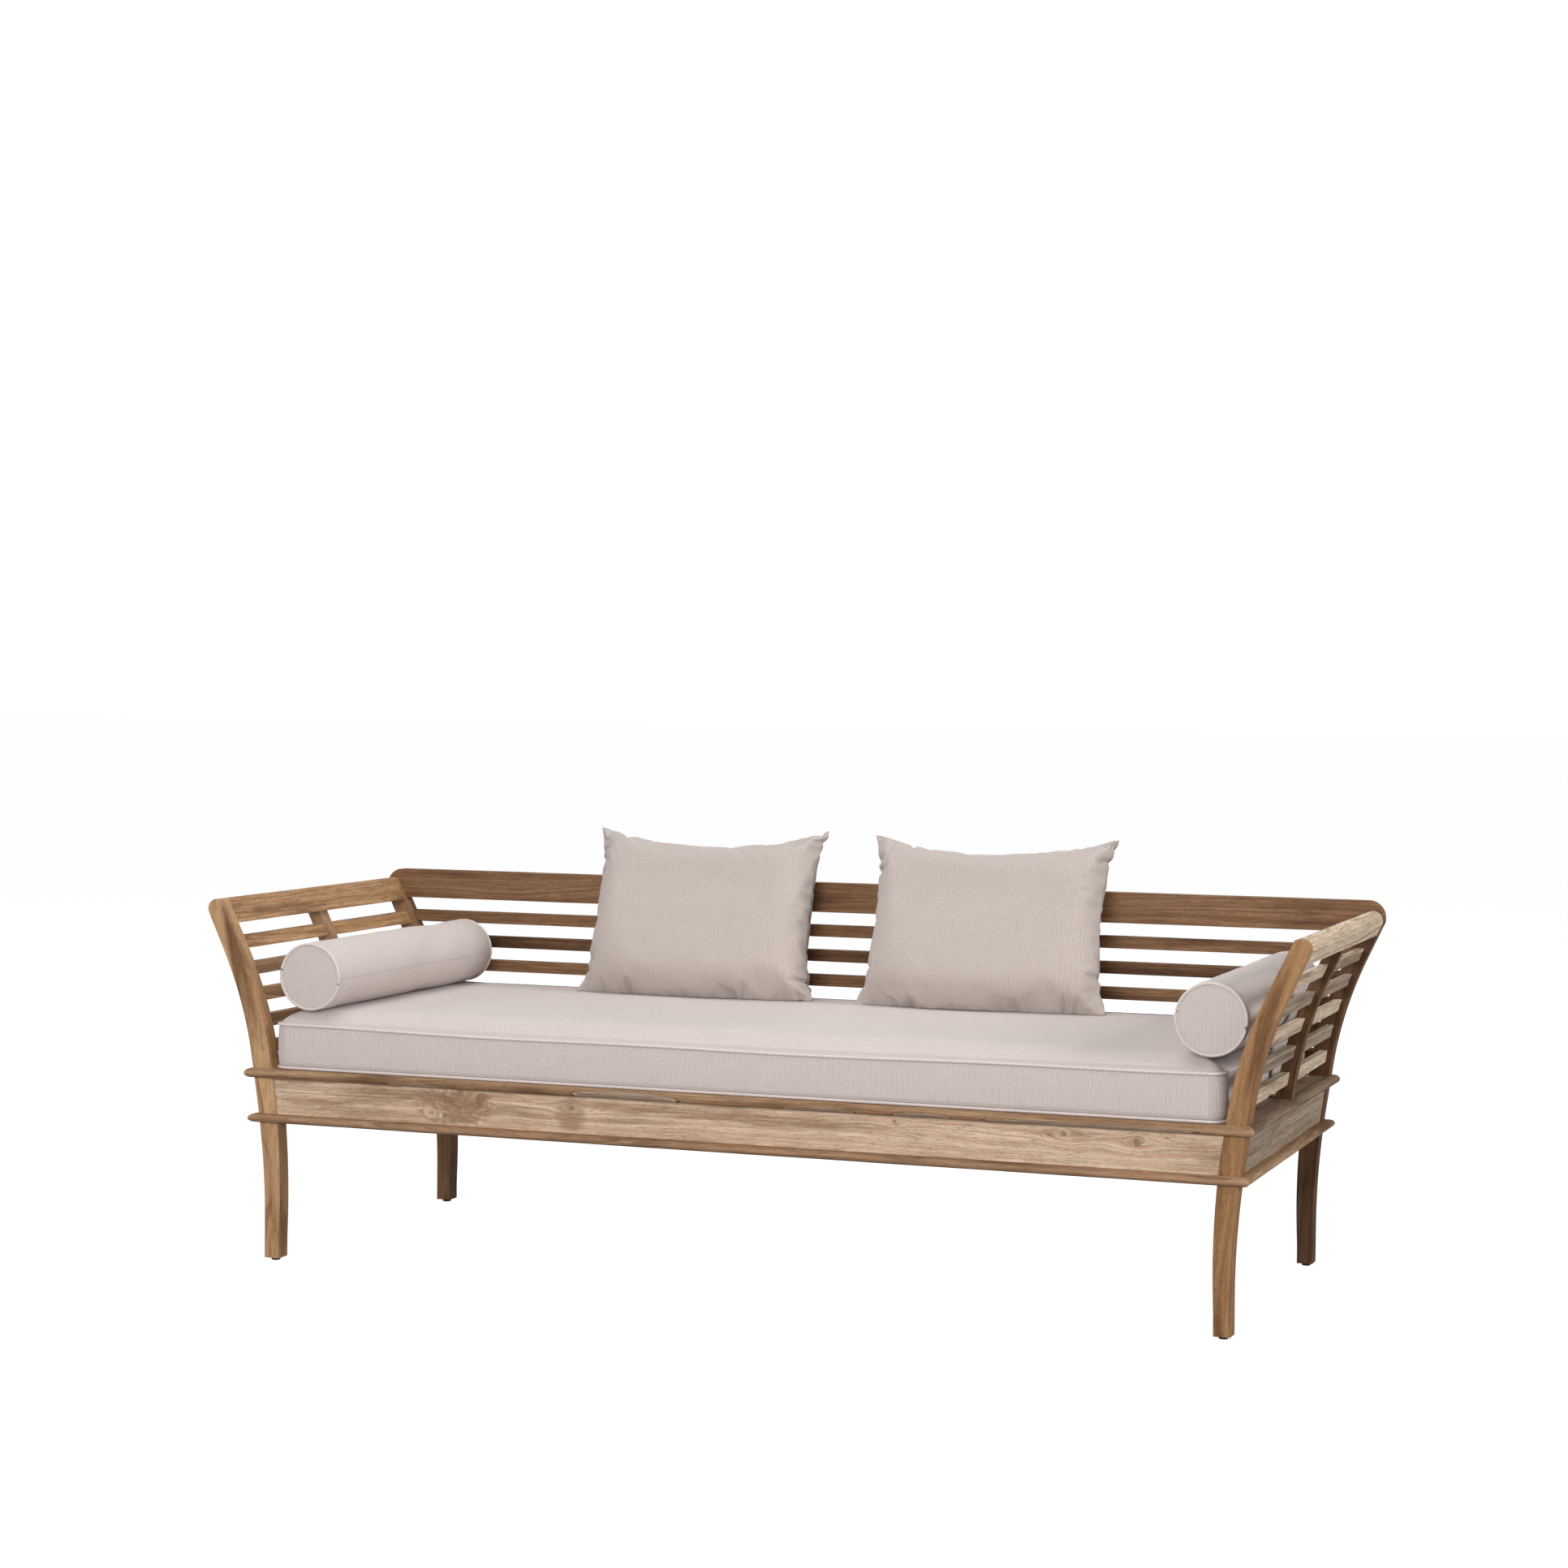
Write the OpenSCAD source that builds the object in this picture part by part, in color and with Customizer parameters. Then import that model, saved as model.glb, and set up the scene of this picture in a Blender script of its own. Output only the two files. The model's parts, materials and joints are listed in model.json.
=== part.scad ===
// Teak daybed with sabre posts, slatted arms and back, a boxed mattress,
// two throw pillows and two bolsters. Millimetres; X runs along the length,
// the sitter faces -Y, Z is up, and the origin is on the floor under the middle.

/* [Posts] */
// Half the length over the feet
foot_x = 1000; // [950:5:1050]
// Depth over the front and rear faces of the posts
frame_d = 808; // [780:2:900]
// Thickness of a post from front to back
post_d = 36; // [34:1:44]
// Width of a post at its foot
foot_w = 32; // [28:1:36]
// Width of a post at seat height
seat_w = 42; // [40:1:46]
// Width of a post at its top
top_w = 37.5; // [36:0.5:40]
// Slope that a leg has gained where it meets the seat
leg_slope = 0.15; // [0.1:0.01:0.2]
// Slope that a post gains again above the seat
arm_slope = 0.32; // [0.2:0.01:0.36]
// Height of the furniture glides under the posts
glide_h = 6; // [4:1:8]
// Diameter of a glide
glide_dia = 20; // [16:1:24]

/* [Seat] */
// Top of the upper ledge, where the mattress lies
seat_z = 394; // [380:2:410]
// Thickness of the upper ledge and of the deck slats
ledge_t = 20; // [18:1:22]
// Height of the aprons
apron_h = 73; // [60:1:80]
// Thickness of the aprons
apron_t = 24; // [20:1:26]
// Thickness of the lower ledge
low_ledge_t = 18; // [16:1:20]
// Half the length over the upper ledge
ledge_x = 1042.5; // [1035:0.5:1060]
// Half the length over the lower ledge
low_ledge_x = 1033.5; // [1025:0.5:1045]
// Half the depth over both ledges
ledge_y = 418; // [412:1:470]
// Width of an upper ledge board
ledge_w = 70; // [60:1:80]
// Width of a lower ledge board
low_ledge_w = 52; // [48:1:60]
// Number of deck slats under the mattress
deck_slats_n = 12; // [8:1:14]
// Width of a deck slat
deck_slat_w = 90; // [70:5:100]

/* [Arms and back] */
// Height of the top of the arms
arm_z = 736; // [720:2:760]
// Height of the top of the back rail
back_z = 755; // [740:1:780]
// Height of an arm rail
arm_rail_h = 50; // [44:1:56]
// Height of the back rail
back_rail_h = 64; // [56:1:70]
// Thickness of the back rail
back_rail_t = 24; // [20:1:26]
// Height of an arm slat
arm_slat_h = 25.5; // [22:0.5:28]
// Height of a back slat
back_slat_h = 26; // [22:0.5:28]
// Thickness of the slats
slat_t = 17; // [14:1:18]
// Number of slats in an arm and in the back
slats_n = 5; // [3:1:5]
// Depth that slats and aprons enter the posts and stiles
housing = 10; // [6:1:10]

/* [Cushions] */
// Half the length of the mattress
mat_x = 981; // [900:1:984]
// Front face of the mattress, from the middle of the frame
mat_front = 403; // [380:1:404]
// Rear face of the mattress, from the middle of the frame
mat_rear = 372; // [340:1:374]
// Height of the mattress at its piped edges
mat_edge_h = 92; // [80:1:100]
// Rise of the crowned top above its piped edges
mat_crown = 24; // [8:1:28]
// Diameter of the piping cord in its cover
piping_dia = 6; // [4:0.5:8]
// Width of a throw pillow between its corners
pillow_w = 536; // [480:2:560]
// Height of a throw pillow between its corners
pillow_h = 374; // [330:2:390]
// Thickness of a throw pillow in its middle
pillow_t = 144; // [110:2:150]
// Backward lean of the pillows in degrees
pillow_lean = 18; // [14:1:20]
// Diameter of a bolster
bolster_dia = 138; // [110:2:144]
// Length of a bolster
bolster_len = 704; // [600:4:720]

/* [Hidden] */
$fn = 48;

// Timber tones, board by board
honey = "#b98a57";
bleached = "#cdb18a";
brown = "#8d6643";
grey_teak = "#c3b193";
steel = "silver";
linen = "#d8cbc0";
foam = "#efe6c8";

// Heights that follow from the driving sizes
post_z = glide_h;
apron_top = seat_z - ledge_t;
apron_z = apron_top - apron_h;
low_ledge_z = apron_z - low_ledge_t;
arm_rail_z = arm_z - arm_rail_h;
back_rail_z = back_z - back_rail_h;
post_y = frame_d / 2;
post_in_y = post_y - post_d;

// Heights between which the leg and the arm bend
leg_bend = [80, 330];
arm_bend = [420, 640];
outline_step = 14;
lean = atan(leg_slope + arm_slope);
arm_round = 20;
arm_round_in = 6;
back_round = 35;

// Set-backs from the outer faces
apron_back = 3;
arm_slat_back = 12;
stile_w = 31;
stile_len = 32;
back_slat_gap = 3;
back_stile_x = 350;
rail_tenon = 11;
stile_tenon = 20;
tenon_shoulder = 9;

// Sideways travel at height z of a slope that grows from nothing to s over a bend
function bend(z, b, s) =
    z <= b[0] ? 0 :
    z >= b[1] ? s * (z - b[1]) + s * (b[1] - b[0]) / 2 :
    s * pow(z - b[0], 2) / (2 * (b[1] - b[0]));

// Outer face, width and inner face of a post at height z
function outer_x(z) = foot_x + bend(z, leg_bend, leg_slope) + bend(z, arm_bend, arm_slope);
function blend(a, b, t) = a + (b - a) * min(1, max(0, t));
function post_w(z) = z < arm_bend[0]
    ? blend(foot_w, seat_w, (z - 40) / (leg_bend[1] - 40))
    : blend(seat_w, top_w, (z - arm_bend[0]) / (arm_z - arm_bend[0]));
function inner_x(z) = outer_x(z) - post_w(z);

// Even heights from z0 to z1
function levels(z0, z1) =
    let (n = max(1, ceil((z1 - z0) / outline_step))) [for (i = [0:n]) z0 + (z1 - z0) * i / n];
function reversed(v) = [for (i = [len(v) - 1:-1:0]) v[i]];
function but_last(v) = [for (i = [0:len(v) - 2]) v[i]];
function arc(centre, r, from, to, n = 8) =
    [for (i = [0:n]) let (a = from + (to - from) * i / n) centre + r * [cos(a), sin(a)]];

// Outline between two set-backs from the outer face
function band(z0, z1, out, in) = concat(
    [for (z = levels(z0, z1)) [outer_x(z) - out, z]],
    [for (z = reversed(levels(z0, z1))) [outer_x(z) - in, z]]
);

// Outline of the post's own width with a rounded top
function post_outline(z0) =
    let (
        out_z = arm_z - arm_round,
        in_z = arm_z - arm_round_in,
        out_c = [outer_x(out_z) - arm_round / cos(lean), out_z],
        in_c = [inner_x(in_z) + arm_round_in / cos(lean), in_z]
    )
    concat(
        [for (z = but_last(levels(z0, out_z - arm_round * sin(lean)))) [outer_x(z), z]],
        arc(out_c, arm_round, -lean, 90),
        arc(in_c, arm_round_in, 90, 180 - lean, 4),
        [for (z = reversed(but_last(levels(z0, in_z + arm_round_in * sin(lean))))) [inner_x(z), z]]
    );

// Right half of the back rail's outline
function rail_half() =
    let (
        c_z = back_z - back_round,
        c = [outer_x(c_z) - back_round / cos(lean), c_z]
    )
    concat(
        [for (z = but_last(levels(back_rail_z, c_z - back_round * sin(lean)))) [outer_x(z), z]],
        arc(c, back_round, -lean, 90, 12)
    );

// Bottom of slat i, counted from the top, in an arm and in the back
arm_gap = (arm_rail_z - seat_z - slats_n * arm_slat_h) / (slats_n + 1);
back_gap = (back_rail_z - seat_z - slats_n * back_slat_h) / (slats_n + 1);
function arm_slat_z(i) = arm_rail_z - i * (arm_slat_h + arm_gap);
function back_slat_z(i) = back_rail_z - i * (back_slat_h + back_gap);

// Stands an XZ outline up from y0 to y1
module upright(y0, y1) {
    translate([0, y1, 0]) rotate([90, 0, 0]) linear_extrude(y1 - y0) children();
}

module mirrored(side) {
    if (side < 0) mirror([1, 0, 0]) children();
    else children();
}

// ---- Posts and arms: built on the right, mirrored to the left ----

// Five slats of one arm half, or slat i alone
module arm_slat_boards(i) {
    z = arm_slat_z(i);
    for (y0 = [-post_in_y - housing, stile_len / 2 - housing])
        upright(y0, y0 + post_in_y - stile_len / 2 + 2 * housing)
            polygon(band(z, z + arm_slat_h, arm_slat_back, arm_slat_back + slat_t));
}

module arm_rail_body() {
    upright(-post_in_y, post_in_y) polygon(post_outline(arm_rail_z));
    upright(-post_in_y - rail_tenon, post_in_y + rail_tenon)
        polygon(band(arm_rail_z + tenon_shoulder, arm_z - arm_round, tenon_shoulder, top_w - tenon_shoulder));
}

module back_rail_body() {
    half = rail_half();
    upright(post_y - back_rail_t, post_y)
        polygon(concat(half, [for (p = reversed(half)) [-p[0], p[1]]]));
}

// Board between the posts whose ends follow their inner faces
module cross_board(z0, z1, y0, y1, into) {
    upright(y0, y1) polygon(concat(
        [for (z = levels(z0, z1)) [inner_x(z) + into, z]],
        [for (z = reversed(levels(z0, z1))) [-inner_x(z) - into, z]]
    ));
}

module apron_end_body() {
    upright(-post_in_y - housing, post_in_y + housing)
        polygon(band(apron_z, apron_top, apron_back, apron_back + apron_t));
}

module apron_long_body(y_side) {
    y = post_y - apron_back;
    y0 = y_side < 0 ? -y : y - apron_t;
    cross_board(apron_z, apron_top, y0, y0 + apron_t, housing);
}

module back_slat_body(i) {
    y1 = post_y - back_slat_gap;
    z = back_slat_z(i);
    difference() {
        cross_board(z, z + back_slat_h, y1 - slat_t, y1, housing);
        for (x = [-back_stile_x, back_stile_x])
            translate([x - stile_len / 2 + housing, 0, z - 1])
                cube([stile_len - 2 * housing, frame_d, back_slat_h + 2]);
    }
}

glide_pin = 18;
glide_pin_dia = 2.5;
glide_dish = 2;

module glide() {
    cylinder(h = glide_h - glide_dish, d1 = glide_dia - 3, d2 = glide_dia);
    translate([0, 0, glide_h - glide_dish]) cylinder(h = glide_dish, d = glide_dia);
    cylinder(h = glide_h + glide_pin, d = glide_pin_dia);
}

module glide_at(side, front) {
    translate([side * (foot_x - foot_w / 2), front * (post_y - post_d / 2), 0]) glide();
}

// Uncut post on the right; front is -1 for the front row and 1 for the rear
module post_body(front) {
    y0 = front < 0 ? -post_y : post_in_y;
    upright(y0, y0 + post_d) polygon(post_outline(post_z));
}

module post(side, front) {
    color(side < 0 ? honey : brown) difference() {
        mirrored(side) post_body(front);
        mirrored(side) {
            for (i = [1:slats_n]) arm_slat_boards(i);
            arm_rail_body();
            apron_end_body();
        }
        apron_long_body(front);
        glide_at(side, front);
        if (front > 0) {
            back_rail_body();
            for (i = [1:slats_n]) back_slat_body(i);
        }
    }
}

module glides() {
    color("#4a3a2c") for (side = [-1, 1], front = [-1, 1]) glide_at(side, front);
}

module arm_rail(side) {
    color(side < 0 ? honey : grey_teak) mirrored(side) difference() {
        arm_rail_body();
        arm_stile_tenon();
    }
}

module arm_stile_tenon() {
    inset = 8;
    upright(inset - stile_len / 2, stile_len / 2 - inset)
        polygon(band(arm_rail_z - 1, arm_rail_z + stile_tenon, inset, stile_w - inset));
}

module arm_stile(side) {
    color(side < 0 ? honey : brown) mirrored(side) {
        difference() {
            upright(-stile_len / 2, stile_len / 2) polygon(band(seat_z, arm_rail_z, 0, stile_w));
            for (i = [1:slats_n]) arm_slat_boards(i);
        }
        arm_stile_tenon();
    }
}

module arm_slat(side, i) {
    color(side < 0 ? honey : grey_teak) mirrored(side) arm_slat_boards(i);
}

// ---- Back ----

module back_rail() {
    color(brown) difference() {
        back_rail_body();
        for (x = [-back_stile_x, back_stile_x]) back_stile_tenon(x);
    }
}

module back_stile_tenon(x) {
    inset = 7;
    translate([x - stile_len / 2 + inset, post_y - back_rail_t + inset, back_rail_z - 1])
        cube([stile_len - 2 * inset, back_rail_t - 2 * inset, stile_tenon + 1]);
}

module back_stile(x) {
    color(brown) {
        difference() {
            translate([x - stile_len / 2, post_y - back_rail_t, seat_z])
                cube([stile_len, back_rail_t, back_rail_z - seat_z]);
            for (i = [1:slats_n]) back_slat_body(i);
        }
        back_stile_tenon(x);
    }
}

module back_slat(i) {
    color(brown) back_slat_body(i);
}

// ---- Seat frame ----

module apron_long(y_side) {
    color(y_side < 0 ? bleached : brown) difference() {
        apron_long_body(y_side);
        wood_screw_set();
    }
}

module apron_end(side) {
    color(brown) difference() {
        mirrored(side) apron_end_body();
        deck_beam_body();
        wood_screw_set();
    }
}

// Section of a ledge: a board with a long rounded nose at its outer edge
nose = 14;
function ledge_section(w, t) = concat(
    [[w, 0], [w, t]],
    [for (a = [90:-15:-90]) [nose - nose * cos(a), t / 2 + t / 2 * sin(a)]]
);

// Mitred board of a rectangular ring, along X at its front; half is the ring's half size
module ring_board(half, w, t, z) {
    intersection() {
        translate([-half[0], -half[1], z]) rotate([90, 0, 90])
            linear_extrude(2 * half[0]) polygon(ledge_section(w, t));
        translate([0, 0, z - 1]) linear_extrude(t + 2) polygon([
            [-half[0], -half[1]], [half[0], -half[1]],
            [half[0] - w, w - half[1]], [w - half[0], w - half[1]]
        ]);
    }
}

module post_cuts() {
    for (side = [-1, 1], front = [-1, 1]) mirrored(side) post_body(front);
}

// turn is 0 for the front board, then 90 for right, 180 for rear and 270 for left
module ring_piece(turn, half_x, w, t, z) {
    half = turn % 180 == 0 ? [half_x, ledge_y] : [ledge_y, half_x];
    difference() {
        rotate(turn) ring_board(half, w, t, z);
        post_cuts();
    }
}

module upper_ledge(turn, tone) {
    color(tone) difference() {
        ring_piece(turn, ledge_x, ledge_w, ledge_t, apron_top);
        wood_screw_set();
    }
}

module lower_ledge(turn, tone) {
    color(tone) ring_piece(turn, low_ledge_x, low_ledge_w, low_ledge_t, low_ledge_z);
}

ledger_h = 30;
ledger_d = 50;
ledger_out_y = post_y - apron_back - apron_t;
ledger_x = foot_x - foot_w - 2;
beam_w = 40;
beam_h = 40;
beam_housing = 8;

module deck_ledger(y_side) {
    y0 = y_side < 0 ? -ledger_out_y : ledger_out_y - ledger_d;
    color(brown) difference() {
        translate([-ledger_x, y0, apron_top - ledger_h]) cube([2 * ledger_x, ledger_d, ledger_h]);
        wood_screw_set();
    }
}

module deck_beam_body() {
    z0 = apron_top - beam_h;
    into = apron_back + apron_t - beam_housing;
    upright(-beam_w / 2, beam_w / 2) polygon(concat(
        [for (z = levels(z0, apron_top)) [outer_x(z) - into, z]],
        [for (z = reversed(levels(z0, apron_top))) [into - outer_x(z), z]]
    ));
}

module deck_beam() {
    color(brown) difference() {
        deck_beam_body();
        wood_screw_set();
    }
}

deck_x = ledge_x - ledge_w;
deck_y = ledge_y - ledge_w;
deck_gap = (2 * deck_x - deck_slats_n * deck_slat_w) / (deck_slats_n + 1);
function deck_slat_x(i) = -deck_x + deck_gap + deck_slat_w / 2 + i * (deck_slat_w + deck_gap);

module deck_slats() {
    color(bleached) difference() {
        for (i = [0:deck_slats_n - 1])
            translate([deck_slat_x(i) - deck_slat_w / 2, -deck_y, apron_top])
                cube([deck_slat_w, 2 * deck_y, ledge_t]);
        wood_screw_set();
    }
}

// Countersunk screws, all of one size, driven from above
screw_dia = 4;
screw_head_dia = 8;
screw_head_h = 3;
screw_len = 34;

module wood_screw() {
    translate([0, 0, -screw_head_h]) cylinder(h = screw_head_h, d1 = screw_dia, d2 = screw_head_dia);
    translate([0, 0, -screw_len]) cylinder(h = screw_len - screw_head_h + 0.5, d = screw_dia);
}

module wood_screw_set() {
    slat_screw_y = deck_y - 10;
    long_screw_y = post_y - apron_back - apron_t / 2;
    end_screw_x = outer_x(apron_top) - apron_back - apron_t / 2;
    for (i = [0:deck_slats_n - 1], y = [-slat_screw_y, 0, slat_screw_y])
        translate([deck_slat_x(i), y, seat_z]) wood_screw();
    for (x = [-900:360:900], y = [-long_screw_y, long_screw_y])
        translate([x, y, seat_z]) wood_screw();
    for (x = [-end_screw_x, end_screw_x], y = [-310, 120, 310])
        translate([x, y, seat_z]) wood_screw();
}

module wood_screws() {
    color(steel) wood_screw_set();
}

// ---- Mattress ----

mat_clear = 0.4;
mat_z = seat_z + mat_clear;
mat_corner = 30;
mat_mid_y = (mat_rear - mat_front) / 2;
mat_half = [mat_x, (mat_rear + mat_front) / 2];
mat_top = mat_z + mat_edge_h + mat_crown;
cover_t = 4;
crown_run = 90;

// Half section of the mattress, inset by g: half width w to the crown
function crown_z(d) = mat_edge_h + mat_crown * (1 - pow(1 - min(1, d / crown_run), 2.2));
function mat_section(w, g) =
    let (side = [for (d = [0, 6, 15, 30, 50, 70, crown_run]) [w - d, mat_z + crown_z(d) - g]])
    concat([[-w + g, mat_z + g], [w - g, mat_z + g]],
           [for (p = side) [p[0] - g, p[1]]],
           [for (p = reversed(side)) [g - p[0], p[1]]]);

module rounded_plan(half, r) {
    square([2 * half[0] - 2 * r, 2 * half[1]], center = true);
    square([2 * half[0], 2 * half[1] - 2 * r], center = true);
    for (sx = [-1, 1], sy = [-1, 1])
        translate([sx * (half[0] - r), sy * (half[1] - r)]) circle(r);
}

module mattress_block(g) {
    translate([0, mat_mid_y, 0]) intersection() {
        upright(-frame_d, frame_d) polygon(mat_section(mat_half[0], g));
        translate([-2 * foot_x, 0, 0]) rotate([90, 0, 90])
            linear_extrude(4 * foot_x) polygon(mat_section(mat_half[1], g));
        linear_extrude(2 * seat_z) rounded_plan([mat_half[0] - g, mat_half[1] - g], mat_corner - g);
    }
}

// One loop of piping around the mattress
module piping_loop(z) {
    x = mat_half[0] - mat_corner;
    y = mat_half[1] - mat_corner;
    r = mat_corner;
    translate([0, mat_mid_y, z]) {
        for (s = [-1, 1]) {
            translate([-x, s * (y + r), 0]) rotate([0, 90, 0]) cylinder(h = 2 * x, d = piping_dia);
            translate([s * (x + r), y, 0]) rotate([90, 0, 0]) cylinder(h = 2 * y, d = piping_dia);
            for (q = [-1, 1]) translate([s * x, q * y, 0])
                rotate(s > 0 ? (q > 0 ? 0 : 270) : (q > 0 ? 90 : 180))
                    rotate_extrude(angle = 90) translate([r, 0]) circle(d = piping_dia);
        }
    }
}

module piping_loops() {
    piping_loop(mat_z + piping_dia / 2);
    piping_loop(mat_z + mat_edge_h);
}

zip_len = 1500;
zip_w = 24;
zip_t = 1;
zip_z = mat_z + mat_edge_h / 2;

module zip_tape() {
    translate([-zip_len / 2, mat_rear - zip_t, zip_z - zip_w / 2]) cube([zip_len, zip_t, zip_w]);
    translate([-zip_len / 2, mat_rear, zip_z]) rotate([0, 90, 0]) cylinder(h = zip_len, d = 2.5);
}

module mattress_cover() {
    color(linen) difference() {
        mattress_block(0);
        mattress_block(cover_t);
        piping_loops();
        zip_tape();
    }
}

module mattress_core() {
    color(foam) mattress_block(cover_t + 0.3);
}

module mattress_piping() {
    color(linen) piping_loops();
}

module mattress_zip() {
    color("#b9ada2") zip_tape();
}

// Slider that runs on the zip from its closed end, with its pull tab hanging down
slider_gap = 0.4;
module zip_slider() {
    color(steel) translate([-zip_len / 2 + 10, mat_rear + 1.25 + slider_gap, zip_z]) {
        translate([-5, 0, -4]) cube([10, 3, 8]);
        translate([-3.5, 2.4, -24]) cube([7, 1.2, 24]);
    }
}

// ---- Throw pillows ----

pillow_grid = [18, 12];
pillow_dip = [30, 22];
pillow_seam = 2.5;
pillow_mid = [284, mat_top + 1 + pillow_h / 2 * cos(pillow_lean)];
function pillow_x(side) = side < 0 ? -315 : 325;

// Point of a pillow face at u, v in -1..1, inset by g; dips draw the edges in
function pillow_point(u, v, face, g) =
    let (
        w = pillow_w / 2 - g - pillow_dip[1] * (1 - v * v) * pow(abs(u), 3),
        h = pillow_h / 2 - g - pillow_dip[0] * (1 - u * u) * pow(abs(v), 3),
        full = pow((1 - pow(u, 4)) * (1 - pow(v, 4)), 0.6),
        t = max(0, pillow_t / 2 - pillow_seam - g) * full + max(0.5, pillow_seam - g / 2)
    )
    [u * w, face * t, v * h];

module pillow_form(g) {
    nu = pillow_grid[0];
    nv = pillow_grid[1];
    rows = [for (face = [-1, 1]) for (j = [0:nv]) for (i = [0:nu])
        pillow_point(sin(90 * (2 * i / nu - 1)), sin(90 * (2 * j / nv - 1)), face, g)];
    function at(f, i, j) = f * (nu + 1) * (nv + 1) + j * (nu + 1) + i;
    front = [for (j = [0:nv - 1], i = [0:nu - 1]) [at(0, i, j), at(0, i, j + 1), at(0, i + 1, j + 1), at(0, i + 1, j)]];
    back = [for (j = [0:nv - 1], i = [0:nu - 1]) [at(1, i, j), at(1, i + 1, j), at(1, i + 1, j + 1), at(1, i, j + 1)]];
    low = [for (i = [0:nu - 1]) [at(0, i, 0), at(0, i + 1, 0), at(1, i + 1, 0), at(1, i, 0)]];
    top = [for (i = [0:nu - 1]) [at(0, i, nv), at(1, i, nv), at(1, i + 1, nv), at(0, i + 1, nv)]];
    left = [for (j = [0:nv - 1]) [at(0, 0, j), at(1, 0, j), at(1, 0, j + 1), at(0, 0, j + 1)]];
    right = [for (j = [0:nv - 1]) [at(0, nu, j), at(0, nu, j + 1), at(1, nu, j + 1), at(1, nu, j)]];
    polyhedron(rows, concat(front, back, low, top, left, right));
}

module pillow_place(side) {
    translate([pillow_x(side), pillow_mid[0], pillow_mid[1]]) rotate([-pillow_lean, 0, 0]) children();
}

module pillow_cover(side) {
    color(linen) pillow_place(side) difference() {
        pillow_form(0);
        pillow_form(cover_t);
    }
}

module pillow_insert(side) {
    color("white") pillow_place(side) pillow_form(cover_t + 0.3);
}

// ---- Bolsters ----

bolster_y = -37;
bolster_round = 6;
function bolster_x(side) = side < 0 ? -907 : 953;

module bolster_place(side) {
    translate([bolster_x(side), bolster_y, mat_top + mat_clear + bolster_dia / 2])
        rotate([90, 0, 0]) children();
}

// Round bolster, inset by g
module bolster_form(g) {
    r = bolster_dia / 2 - g;
    h = bolster_len / 2 - g;
    rotate_extrude() polygon(concat(
        [[0, -h]], arc([r - bolster_round, bolster_round - h], bolster_round, -90, 0, 4),
        arc([r - bolster_round, h - bolster_round], bolster_round, 0, 90, 4), [[0, h]]
    ));
}

module bolster_rings() {
    for (z = [-1, 1])
        translate([0, 0, z * (bolster_len / 2 - 2)]) rotate_extrude()
            translate([(bolster_dia - piping_dia) / 2, 0]) circle(d = piping_dia);
}

module bolster_cover(side) {
    color(linen) bolster_place(side) difference() {
        bolster_form(0);
        bolster_form(cover_t);
        bolster_rings();
    }
}

module bolster_core(side) {
    color(foam) bolster_place(side) difference() {
        bolster_form(cover_t + 0.3);
        bolster_rings();
    }
}

module bolster_piping(side) {
    color(linen) bolster_place(side) bolster_rings();
}

post(-1, -1);  // post_front_left
post(1, -1);  // post_front_right
post(-1, 1);  // post_rear_left
post(1, 1);  // post_rear_right
glides();
apron_long(-1);  // apron_front
apron_long(1);  // apron_rear
apron_end(-1);  // apron_left
apron_end(1);  // apron_right
upper_ledge(0, honey);  // upper_ledge_front
upper_ledge(90, grey_teak);  // upper_ledge_right
upper_ledge(180, brown);  // upper_ledge_rear
upper_ledge(270, honey);  // upper_ledge_left
lower_ledge(0, honey);  // lower_ledge_front
lower_ledge(90, grey_teak);  // lower_ledge_right
lower_ledge(180, brown);  // lower_ledge_rear
lower_ledge(270, honey);  // lower_ledge_left
arm_rail(-1);  // arm_rail_left
arm_rail(1);  // arm_rail_right
arm_stile(-1);  // arm_stile_left
arm_stile(1);  // arm_stile_right
for (i = [1:slats_n]) {
    arm_slat(-1, i);
    arm_slat(1, i);
    back_slat(i);
}
back_rail();
back_stile(-back_stile_x);  // back_stile_left
back_stile(back_stile_x);  // back_stile_right
deck_ledger(-1);  // deck_ledger_front
deck_ledger(1);  // deck_ledger_rear
deck_beam();
deck_slats();
wood_screws();
mattress_cover();
mattress_core();
mattress_piping();
mattress_zip();
zip_slider();
pillow_cover(-1);  // pillow_cover_left
pillow_insert(-1);  // pillow_insert_left
pillow_cover(1);  // pillow_cover_right
pillow_insert(1);  // pillow_insert_right
bolster_cover(-1);  // bolster_cover_left
bolster_core(-1);  // bolster_core_left
bolster_piping(-1);  // bolster_piping_left
bolster_cover(1);  // bolster_cover_right
bolster_core(1);  // bolster_core_right
bolster_piping(1);  // bolster_piping_right
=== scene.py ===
import json
import math
import random

import bmesh
import bpy
import numpy as np
from mathutils import Matrix, Vector, noise
from mathutils.bvhtree import BVHTree


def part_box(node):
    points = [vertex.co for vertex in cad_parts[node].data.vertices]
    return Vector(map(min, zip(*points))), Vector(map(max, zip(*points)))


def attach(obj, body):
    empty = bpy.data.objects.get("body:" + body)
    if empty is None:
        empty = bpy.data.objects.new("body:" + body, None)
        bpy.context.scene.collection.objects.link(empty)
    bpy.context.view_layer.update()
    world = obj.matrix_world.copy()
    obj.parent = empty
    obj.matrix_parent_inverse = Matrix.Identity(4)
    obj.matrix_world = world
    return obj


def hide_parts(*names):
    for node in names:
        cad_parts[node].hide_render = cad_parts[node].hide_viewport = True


# The looks of a teak daybed: worn timber boards, and cushions by cloth simulation.
# Everything is in metres in the frame's own axes: +X along the length, -Y to the sitter's front, +Z up.

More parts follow.
